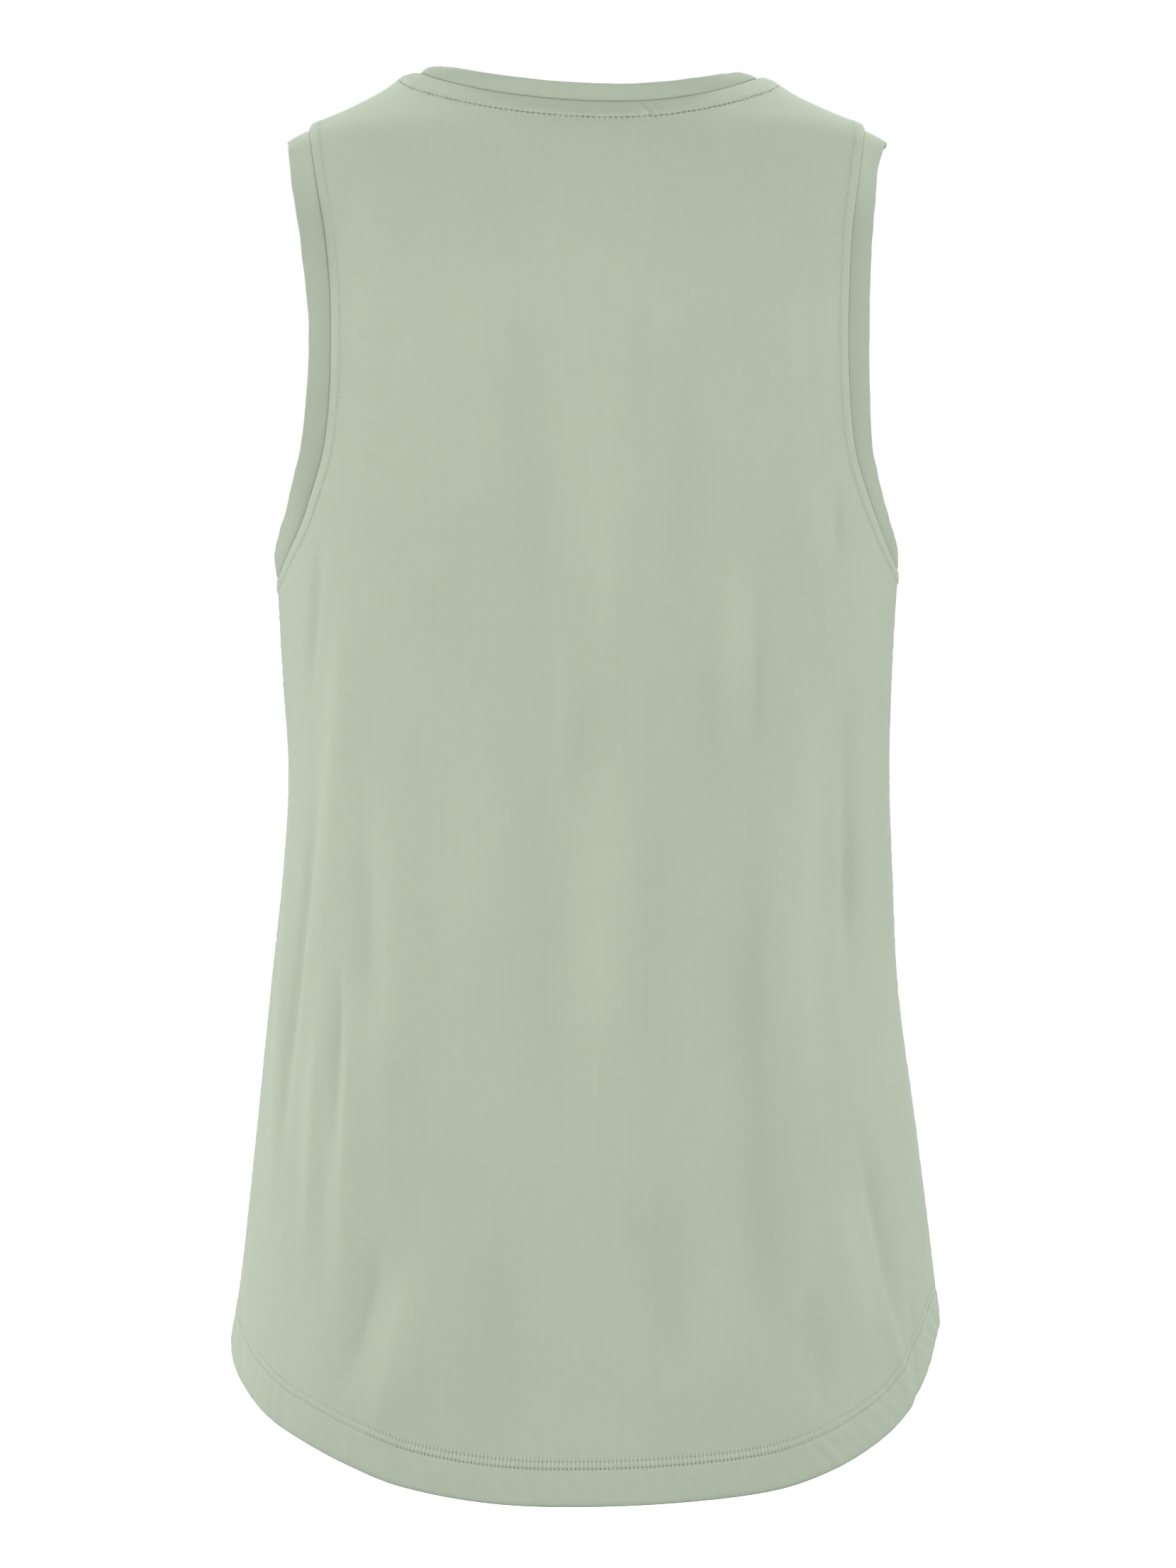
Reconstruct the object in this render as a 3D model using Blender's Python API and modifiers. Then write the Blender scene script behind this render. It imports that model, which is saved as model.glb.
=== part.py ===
# Sleeveless jersey top, hollow and filled out as if worn, its back towards -Y.
# Z = 0 is the height of the shoulder seams' neck ends, and X = 0 the middle of the neck.
import math
from collections import namedtuple

import bmesh
import bpy
from mathutils import Vector

MM = 0.001

# Cloth, in millimetres like every size and table below
PANEL_WALL = 1.2
HEM_WALL = 2.2
BAND_WALL = 2.0
SEAM_GAP = 0.5
BAND_GAP = 0.5
HEM_DEPTH = 20.0
HEM_STEP = 1.5
HEM_FOLD_ROWS = (0.0, HEM_DEPTH, HEM_DEPTH + HEM_STEP)
NECKBAND_HEIGHT = 9.0
ARMBAND_WIDTH = 12.0

# Heights of the ends of the seams, left and right as seen from behind
HEM_SIDE = (-637.0, -629.0)
UNDERARM = (-252.5, -247.5)
SHOULDER_TIP = (-22.0, -22.0)
NECK_POINT = (4.2, 1.8)

# Drops of the curved edges at the middle of each panel
HEM_DROP = {"back": 76.0, "front": 58.0}
NECK_DROP = {"back": 18.8, "front": 90.0}
NECK_CURVE_POWER = {"back": 0.8, "front": 0.56}
NECK_LOWEST_X = {"back": 11.0, "front": 3.0}

# Depth of the yoke rows below the neck seam, where the rows start to follow it
YOKE = {"back": 32.0, "front": 26.0}

# Grid of each panel; a narrow column lies along each side seam and shoulder seam
COLUMNS = 38
SEAM_STRIP = 0.006
SIDE_ROWS = 14
ARMHOLE_ROWS = 13
SHOULDER_ROWS = 4
LAST_ROW = SIDE_ROWS + ARMHOLE_ROWS + SHOULDER_ROWS

# How closely the rows keep level, and the columns straight, until they come near an armhole
RIM_POWER = 4
INSET_POWER = 1.5

# Round the underarm the rows dip and the columns spread, so that the cells stay even
UNDERARM_DIP = 12.0
UNDERARM_SPREAD = 10.0
UNDERARM_SPREAD_ROWS = 2.4
UNDERARM_SPREAD_POWER = 10

Section = namedtuple("Section", "height left right back front")
SECTIONS = (
    Section(5, 80.0, 72.0, 50.0, 28.0),
    Section(3, 92.0, 80.0, 51.0, 29.5),
    Section(0.5, 97.0, 92.0, 52.5, 31.5),
    Section(-3, 102.0, 98.5, 54.5, 34.5),
    Section(-8, 110.5, 108.0, 57.5, 39.0),
    Section(-15, 125.0, 123.0, 62.0, 45.0),
    Section(-22, 141.5, 140.5, 67.0, 50.0),
    Section(-27, 149.0, 148.0, 70.5, 53.5),
    Section(-34, 154.0, 153.0, 75.0, 58.0),
    Section(-60, 160.0, 159.0, 90.0, 70.0),
    Section(-100, 163.0, 163.0, 103.5, 85.0),
    Section(-150, 163.0, 163.0, 111.0, 100.0),
    Section(-200, 161.0, 161.0, 112.0, 110.0),
    Section(-250, 157.6, 157.0, 108.5, 114.0),
    Section(-300, 154.8, 154.1, 102.5, 110.0),
    Section(-350, 151.8, 152.8, 98.5, 104.5),
    Section(-400, 154.5, 154.3, 99.0, 103.0),
    Section(-460, 160.8, 157.2, 103.5, 105.0),
    Section(-530, 167.8, 166.3, 111.0, 109.5),
    Section(-600, 175.3, 175.0, 118.5, 115.5),
    Section(-660, 183.5, 181.5, 124.5, 120.5),
    Section(-720, 186.0, 186.0, 130.0, 126.0),
)

# Distance of the armhole seam from the middle, and how much deeper the front is cut
Armhole = namedtuple("Armhole", "height left right front_inset")
ARMHOLE = (
    Armhole(-22, 141.5, 140.5, 0.0),
    Armhole(-42, 138.5, 137.5, 1.5),
    Armhole(-64, 134.7, 134.3, 3.5),
    Armhole(-80, 131.9, 132.3, 4.5),
    Armhole(-110, 128.9, 130.6, 6.0),
    Armhole(-140, 128.4, 130.2, 6.5),
    Armhole(-165, 129.3, 131.0, 6.0),
    Armhole(-190, 132.4, 133.9, 5.0),
    Armhole(-210, 138.3, 140.0, 3.5),
    Armhole(-226, 144.2, 146.4, 2.0),
    Armhole(-240, 151.4, 152.8, 0.8),
    Armhole(-248, 155.3, 157.4, 0.2),
    Armhole(-254, 158.4, 161.0, 0.0),
)

# Degrees that the neckband stands away from the panels, by degrees of turn from the shoulder
NeckLean = namedtuple("NeckLean", "turn back front")
NECKBAND_LEAN = (
    NeckLean(0, -6.0, -6.0),
    NeckLean(20, -8.0, -4.0),
    NeckLean(35, -2.0, 0.0),
    NeckLean(50, 14.0, 4.0),
    NeckLean(70, 30.0, 8.0),
    NeckLean(90, 36.0, 8.0),
)

# Degrees that the armbands stand away from the panels, by share of the armhole's height
Lean = namedtuple("Lean", "share left right")
ARMBAND_LEAN = (
    Lean(0.0, 4.0, -5.0),
    Lean(0.1, 9.0, -7.0),
    Lean(0.2, 16.0, -2.0),
    Lean(0.37, 18.0, 8.0),
    Lean(0.5, 12.0, 10.0),
    Lean(0.8, 12.0, 4.0),
    Lean(0.92, 6.0, -4.0),
    Lean(1.0, -19.0, -14.0),
)

# Share of the hem's drop at each turn from the side seam, in degrees
Hem = namedtuple("Hem", "turn left right")
HEM_CURVE = (
    Hem(0, 0.0, 0.0),
    Hem(10, 0.14, 0.07),
    Hem(20, 0.30, 0.30),
    Hem(30, 0.47, 0.54),
    Hem(40, 0.61, 0.71),
    Hem(50, 0.75, 0.845),
    Hem(60, 0.875, 0.935),
    Hem(75, 0.975, 0.985),
    Hem(90, 1.0, 1.0),
)

# Folds run from a top point to a foot; a rise below zero is a trough
Fold = namedtuple("Fold", "panel top_x top_z foot_x foot_z width rise")
FOLDS = (
    Fold("back", 8, -180, 10, -330, 15, 1.8),
    Fold("back", 10, -330, 2, -545, 22, 2.2),
    Fold("back", -22, -190, -20, -505, 14, -1.6),
    Fold("back", 30, -150, 31, -560, 15, -1.8),
    Fold("back", 71, -235, 77, -375, 16, 2.0),
    Fold("back", 88, -380, 103, -690, 17, -2.6),
    Fold("back", 110, -290, 110, -540, 15, 2.4),
    Fold("back", 126, -300, 133, -450, 11, -2.2),
    Fold("back", 135, -520, 152, -650, 15, -2.6),
    Fold("back", -122, -240, -150, -540, 14, 2.6),
    Fold("back", -106, -345, -133, -600, 15, -2.6),
    Fold("back", -97, -350, -102, -540, 15, 1.6),
    Fold("back", -114, -510, -121, -630, 13, 2.2),
    Fold("back", -88, -520, -118, -680, 17, -2.4),
    Fold("back", -31, -570, -40, -720, 20, -1.8),
    Fold("back", 38, -500, 40, -640, 18, -1.8),
    Fold("front", -12, -170, -10, -420, 20, 1.8),
    Fold("front", 26, -210, 34, -600, 17, -2.0),
    Fold("front", -48, -260, -56, -640, 18, -2.2),
    Fold("front", 78, -240, 92, -560, 17, 2.4),
    Fold("front", -92, -230, -112, -560, 17, 2.4),
    Fold("front", 108, -330, 128, -640, 15, -2.6),
    Fold("front", -122, -330, -142, -620, 14, -2.4),
    Fold("front", 6, -480, 2, -720, 24, 2.2),
)
FOLD_FADE = 0.22
FOLD_SEAM_FADE = 0.3

# Sage green jersey, with the bands' double cloth a little deeper
JERSEY = (0.445, 0.503, 0.402, 1.0)
JERSEY_DOUBLE = (0.425, 0.481, 0.383, 1.0)
JERSEY_ROUGHNESS = 0.85

OUTWARD = {"back": -1.0, "front": 1.0}
ACROSS = [0.0, SEAM_STRIP, *(column / COLUMNS for column in range(1, COLUMNS)), 1.0 - SEAM_STRIP, 1.0]


def curve_through(knots):
    # A smooth reading of (place, value) pairs, held level past the ends
    knots = sorted(knots)
    last = len(knots) - 1
    slopes = []
    for index in range(last + 1):
        before = knots[max(index - 1, 0)]
        after = knots[min(index + 1, last)]
        slopes.append((after[1] - before[1]) / (after[0] - before[0]))

    def read(place):
        if place <= knots[0][0]:
            return knots[0][1]
        if place >= knots[last][0]:
            return knots[last][1]
        index = max(i for i in range(last) if knots[i][0] <= place)
        span = knots[index + 1][0] - knots[index][0]
        t = (place - knots[index][0]) / span
        rise = t * t * (3.0 - 2.0 * t)
        value = knots[index][1] * (1.0 - rise) + knots[index + 1][1] * rise
        value += span * slopes[index] * t * (1.0 - t) ** 2
        value -= span * slopes[index + 1] * t * t * (1.0 - t)
        return value

    return read


def table_curves(table):
    columns = table[0]._fields[1:]
    return {name: curve_through([(row[0], getattr(row, name)) for row in table]) for name in columns}


BODY = table_curves(SECTIONS)
CUT = table_curves(ARMHOLE)
NECK_LEAN = table_curves(NECKBAND_LEAN)
ARM_LEAN = table_curves(ARMBAND_LEAN)
HEM = table_curves(HEM_CURVE)


def mix(start, end, share):
    return start + (end - start) * share


def ease(share):
    share = min(max(share, 0.0), 1.0)
    return share * share * (3.0 - 2.0 * share)


def turn_from_side(turn):
    return math.degrees(min(turn, math.pi - turn))


def half_width(turn, height):
    # A turn is 0 at the left side seam, 90 degrees at the middle and 180 at the right seam
    return BODY["left" if turn < math.pi / 2 else "right"](height)


def fold_rise(panel, turn, height):
    total = 0.0
    for fold in FOLDS:
        if fold.panel != panel or not fold.foot_z < height < fold.top_z:
            continue
        along = (height - fold.foot_z) / (fold.top_z - fold.foot_z)
        middle_x = mix(fold.foot_x, fold.top_x, along)
        width = BODY["left" if middle_x < 0 else "right"](height)
        middle = math.acos(max(-1.0, min(1.0, -middle_x / width)))
        away = (turn - middle) * (width + BODY[panel](height)) / 2
        ends = ease(along / FOLD_FADE) * ease((1.0 - along) / FOLD_FADE)
        total += fold.rise * math.exp(-((away / fold.width) ** 2)) * ends
    return total * ease(math.sin(turn) / FOLD_SEAM_FADE)


def cloth_point(panel, turn, height):
    width = half_width(turn, height)
    depth = BODY[panel](height)
    side = OUTWARD[panel]
    out = Vector((-math.cos(turn) / width, side * math.sin(turn) / depth, 0.0)).normalized()
    point = Vector((-width * math.cos(turn), side * depth * math.sin(turn), height))
    point += out * fold_rise(panel, turn, height)
    point.y += side * SEAM_GAP / 2
    return point * MM


def armhole_turn(panel, right, height):
    # The turn, from its own side seam, at which the panel ends at its armhole
    if not UNDERARM[right] < height < SHOULDER_TIP[right]:
        return 0.0
    name = "right" if right else "left"
    reach = CUT[name](height)
    if panel == "front":
        reach -= CUT["front_inset"](height)
    return math.acos(min(1.0, reach / BODY[name](height)))


def hem_height(panel, across, turn):
    side = mix(HEM_SIDE[0], HEM_SIDE[1], across)
    return side - HEM_DROP[panel] * HEM["right" if across > 0.5 else "left"](turn_from_side(turn))


def neck_place(panel, across):
    # The turn and height of the neck seam at a column
    angle = math.pi * across
    end_x = (-BODY["left"](NECK_POINT[0]), BODY["right"](NECK_POINT[1]))
    x = -half_width(angle, NECK_POINT[round(across)]) * math.cos(angle)
    lowest_x = NECK_LOWEST_X[panel]
    share = (x - lowest_x) / (end_x[1 if x > lowest_x else 0] - lowest_x)
    drop = NECK_DROP[panel] * max(0.0, 1.0 - share ** 2) ** NECK_CURVE_POWER[panel]
    height = mix(NECK_POINT[0], NECK_POINT[1], across) - drop
    turn = math.acos(max(-1.0, min(1.0, x / -half_width(angle, height))))
    return turn, height


def panel_place(panel, across, row):
    # The turn and height of one grid point; across runs 0 to 1 from left to right
    if row < len(HEM_FOLD_ROWS):
        turn = math.pi * across
        return turn, hem_height(panel, across, turn) + HEM_FOLD_ROWS[row]
    edge = abs(2.0 * across - 1.0)
    right = 1 if across > 0.5 else 0
    inwards = -1.0 if right else 1.0
    underarm = mix(UNDERARM[0], UNDERARM[1], across) - UNDERARM_DIP * (1.0 - edge ** RIM_POWER)
    spread = math.exp(-(((row - SIDE_ROWS) / UNDERARM_SPREAD_ROWS) ** 2))
    spread *= edge * (1.0 - edge ** UNDERARM_SPREAD_POWER)
    turn = math.pi * across + inwards * math.radians(UNDERARM_SPREAD) * spread
    if row <= SIDE_ROWS:
        hem_row = len(HEM_FOLD_ROWS) - 1
        hem_top = hem_height(panel, across, turn) + HEM_FOLD_ROWS[hem_row]
        return turn, mix(hem_top, underarm, (row - hem_row) / (SIDE_ROWS - hem_row))
    neck_turn, neck_height = neck_place(panel, across)
    armhole_row = min(row - SIDE_ROWS, ARMHOLE_ROWS)
    share = armhole_row / ARMHOLE_ROWS
    inner = mix(underarm, neck_height - YOKE[panel], share)
    rim = mix(UNDERARM[right], SHOULDER_TIP[right], 0.5 - 0.5 * math.cos(math.pi * share))
    height = mix(inner, rim, edge ** RIM_POWER)
    turn += inwards * armhole_turn(panel, right, height) * edge ** INSET_POWER
    if row <= SIDE_ROWS + ARMHOLE_ROWS:
        return turn, height
    share = (row - SIDE_ROWS - ARMHOLE_ROWS) / SHOULDER_ROWS
    height = mix(height, neck_height, share)
    cosine = mix(math.cos(turn), math.cos(neck_turn), share)
    return math.acos(max(-1.0, min(1.0, cosine))), height


def surface_normal(panel, turn, height):
    # Outward normal of the cloth, measured on two short steps that stay on the panel
    step = 0.02
    rise = 0.5
    towards_middle = step if turn < math.pi / 2 else -step
    here = cloth_point(panel, turn, height)
    round_step = (cloth_point(panel, turn + towards_middle, height) - here) / towards_middle
    up_step = cloth_point(panel, turn, height + rise) - cloth_point(panel, turn, height - rise)
    return (up_step.cross(round_step) * OUTWARD[panel]).normalized()


def make_material(name, colour):
    material = bpy.data.materials.new(name)
    material.use_nodes = True
    shader = material.node_tree.nodes["Principled BSDF"]
    shader.inputs["Base Color"].default_value = colour
    shader.inputs["Roughness"].default_value = JERSEY_ROUGHNESS
    shader.inputs["Metallic"].default_value = 0.0
    material.diffuse_color = colour
    return material


def add_sheet(name, rows, closed, outward, colour, wall, collection):
    # Rows of points become an open sheet, and Solidify gives it its wall on the inner side
    mesh = bpy.data.meshes.new(name)
    sheet = bmesh.new()
    grid = [[sheet.verts.new(point) for point in row] for row in rows]
    count = len(rows[0])
    for lower, upper in zip(grid, grid[1:]):
        for index in range(count if closed else count - 1):
            following = (index + 1) % count
            corners = (lower[index], lower[following], upper[following], upper[index])
            sheet.faces.new(corners if outward else corners[::-1])
    sheet.to_mesh(mesh)
    sheet.free()
    mesh.shade_smooth()
    mesh.materials.append(make_material(name, colour))
    obj = bpy.data.objects.new(name, mesh)
    collection.objects.link(obj)
    shell = obj.modifiers.new("Wall", "SOLIDIFY")
    shell.thickness = wall * MM
    shell.offset = -1.0
    shell.use_even_offset = True
    return obj


def add_panel(panel, collection):
    rows = []
    for row in range(LAST_ROW + 1):
        places = [panel_place(panel, across, row) for across in ACROSS]
        rows.append([cloth_point(panel, turn, height) for turn, height in places])
    obj = add_sheet(panel + "_panel", rows, False, panel == "back", JERSEY, HEM_WALL, collection)
    # The turned-up hem is two layers of cloth, and the rest of the panel one
    hem = obj.vertex_groups.new(name="turned_up_hem")
    hem.add(range(2 * len(ACROSS)), 1.0, "REPLACE")
    shell = obj.modifiers["Wall"]
    shell.vertex_group = hem.name
    shell.thickness_vertex_group = PANEL_WALL / HEM_WALL


def band_rows(base, normals, width, leans):
    # Each base point gets the band's foot, middle and folded edge, away from the panel
    count = len(base)
    rows = [[], [], []]
    for index in range(count):
        before = (base[index] - base[index - 1]).normalized()
        after = (base[(index + 1) % count] - base[index]).normalized()
        away = (before + after).cross(normals[index]).normalized()
        lean = math.radians(leans[index])
        # A band that leans inwards brings its inner corner back towards the panel
        gap = BAND_GAP + BAND_WALL * max(0.0, -math.sin(lean))
        away = away * math.cos(lean) + normals[index] * math.sin(lean)
        for row, reach in zip(rows, (0.0, width / 2, width)):
            row.append(base[index] + away * (gap + reach) * MM)
    return rows


def ring_places(back, front):
    # One closed run of places round the back panel's edge and then the front panel's
    return [("back", *place) for place in back] + [("front", *place) for place in front]


def add_band(name, places, width, leans, collection):
    base = [cloth_point(*place) for place in places]
    normals = [surface_normal(*place) for place in places]
    rows = band_rows(base, normals, width, leans)
    return add_sheet(name, rows, True, False, JERSEY_DOUBLE, BAND_WALL, collection)


def add_neckband(collection):
    back = [panel_place("back", across, LAST_ROW) for across in reversed(ACROSS)]
    front = [panel_place("front", across, LAST_ROW) for across in ACROSS[1:-1]]
    places = ring_places(back, front)
    leans = [NECK_LEAN[panel](turn_from_side(turn)) for panel, turn, _ in places]
    add_band("neckband", places, NECKBAND_HEIGHT, leans, collection)


def add_armband(right, collection):
    across = 1.0 if right else 0.0
    first = SIDE_ROWS
    last = SIDE_ROWS + ARMHOLE_ROWS
    back = [panel_place("back", across, row) for row in range(first, last + 1)]
    front = [panel_place("front", across, row) for row in range(last - 1, first, -1)]
    places = ring_places(back, front)
    if not right:
        places.reverse()
    name = "right" if right else "left"
    armhole_height = SHOULDER_TIP[right] - UNDERARM[right]
    leans = [ARM_LEAN[name]((height - UNDERARM[right]) / armhole_height) for _, _, height in places]
    add_band("armband_" + name, places, ARMBAND_WIDTH, leans, collection)


def build():
    for obj in list(bpy.data.objects):
        bpy.data.objects.remove(obj)
    collection = bpy.data.collections.new("singlet")
    bpy.context.scene.collection.children.link(collection)
    add_panel("back", collection)
    add_panel("front", collection)
    add_neckband(collection)
    add_armband(0, collection)
    add_armband(1, collection)


build()
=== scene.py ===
import math
from collections import namedtuple

import bpy
import numpy as np
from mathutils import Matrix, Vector
from mathutils.geometry import delaunay_2d_cdt
from mathutils.kdtree import KDTree


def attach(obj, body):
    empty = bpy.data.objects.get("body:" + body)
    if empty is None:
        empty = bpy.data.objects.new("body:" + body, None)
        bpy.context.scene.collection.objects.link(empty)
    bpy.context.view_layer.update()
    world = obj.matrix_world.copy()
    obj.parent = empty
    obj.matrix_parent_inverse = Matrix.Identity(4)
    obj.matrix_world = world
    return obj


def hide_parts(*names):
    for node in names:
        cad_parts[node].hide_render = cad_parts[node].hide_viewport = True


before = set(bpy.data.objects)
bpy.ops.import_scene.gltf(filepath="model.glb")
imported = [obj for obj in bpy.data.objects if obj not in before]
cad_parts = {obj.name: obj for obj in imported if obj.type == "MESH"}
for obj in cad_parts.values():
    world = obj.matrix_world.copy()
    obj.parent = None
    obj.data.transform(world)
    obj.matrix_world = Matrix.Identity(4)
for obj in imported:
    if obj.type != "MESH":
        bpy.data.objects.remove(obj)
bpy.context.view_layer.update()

# Every length here is in millimetres until a mesh is made, when it is scaled by this
mm = 0.001

# Heights of the ends of the seams, left and right as seen from behind, and the curved edges
garment = {
    "hemSide": (-637.0, -629.0),
    "underarm": (-252.5, -247.5),
    "shoulderTip": (-22.0, -22.0),
    "neckPoint": (4.2, 1.8),
    "hemDrop": {"back": 76.0, "front": 58.0},
    "neckDrop": {"back": 17.9, "front": 90.0},
    "neckPower": {"back": 0.8, "front": 0.56},
    "neckLowestX": {"back": 11.0, "front": 3.0},
    "halfSeamGap": 0.05,
}
outward = {"back": -1.0, "front": 1.0}

# Half widths and depths of the filled-out body, from the neck down
Section = namedtuple("Section", "height left right back front")
sections = [
    Section(5, 80, 72, 50, 28),
    Section(3, 92, 80, 51, 29.5),
    Section(0.5, 97, 92, 52.5, 31.5),
    Section(-3, 102, 98.5, 54.5, 34.5),
    Section(-8, 110.5, 108, 57.5, 39),
    Section(-15, 125, 123, 62, 45),
    Section(-22, 141.5, 140.5, 67, 50),
    Section(-27, 149, 148, 70.5, 53.5),
    Section(-34, 154, 153, 75, 58),
    Section(-60, 160, 159, 90, 70),
    Section(-100, 163, 163, 103.5, 85),
    Section(-150, 163, 163, 111, 100),
    Section(-200, 161, 161, 112, 110),
    Section(-250, 157.6, 157, 108.5, 114),
    Section(-300, 154.8, 154.1, 102.5, 110),
    Section(-350, 151.8, 152.8, 98.5, 104.5),
    Section(-400, 154.5, 154.3, 99, 103),
    Section(-460, 160.8, 157.2, 103.5, 105),
    Section(-530, 167.8, 166.3, 111, 109.5),
    Section(-600, 175.3, 175, 118.5, 115.5),
    Section(-660, 183.5, 181.5, 124.5, 120.5),
    Section(-720, 186, 186, 130, 126),
]

# Distance of the armhole seam from the middle, and how much deeper the front is cut
Armhole = namedtuple("Armhole", "height left right frontInset")
armholes = [
    Armhole(-22, 141.5, 140.5, 0),
    Armhole(-42, 138.5, 137.5, 1.5),
    Armhole(-64, 134.7, 134.3, 3.5),
    Armhole(-80, 131.9, 132.3, 4.5),
    Armhole(-110, 128.9, 130.6, 6),
    Armhole(-140, 128.4, 130.2, 6.5),
    Armhole(-165, 129.3, 131, 6),
    Armhole(-190, 132.4, 133.9, 5),
    Armhole(-210, 138.3, 140, 3.5),
    Armhole(-226, 144.2, 146.4, 2),
    Armhole(-240, 151.4, 152.8, 0.8),
    Armhole(-248, 155.3, 157.4, 0.2),
    Armhole(-254, 158.4, 161, 0),
]

# Share of the hem's drop at each turn from the side seam, in degrees. The last row lies past the
# middle, and only makes the curve level there.
HemShare = namedtuple("HemShare", "turn left right")
hemShares = [
    HemShare(0, 0, 0),
    HemShare(10, 0.14, 0.07),
    HemShare(20, 0.30, 0.30),
    HemShare(30, 0.47, 0.54),
    HemShare(40, 0.61, 0.71),
    HemShare(50, 0.75, 0.845),
    HemShare(60, 0.875, 0.935),
    HemShare(75, 0.975, 0.985),
    HemShare(90, 1, 1),
    HemShare(105, 0.975, 0.985),
]

# Degrees that the bands stand away from the panels
NeckLean = namedtuple("NeckLean", "turn back front")
neckLeans = [
    NeckLean(0, -6, -6),
    NeckLean(20, -8, -4),
    NeckLean(35, -2, 0),
    NeckLean(50, 14, 4),
    NeckLean(70, 30, 8),
    NeckLean(90, 36, 8),
]
ArmLean = namedtuple("ArmLean", "share left right")
armLeans = [
    ArmLean(0, 4, -5),
    ArmLean(0.1, 10, -7),
    ArmLean(0.2, 20, -2),
    ArmLean(0.37, 22, 8),
    ArmLean(0.5, 14, 10),
    ArmLean(0.6, 19, 9),
    ArmLean(0.7, 31, 7),
    ArmLean(0.8, 31, 4),
    ArmLean(0.9, 24, -4),
    ArmLean(0.95, 17, -1),
    ArmLean(0.98, 7, 2),
    ArmLean(1, 1, 3),
]

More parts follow.
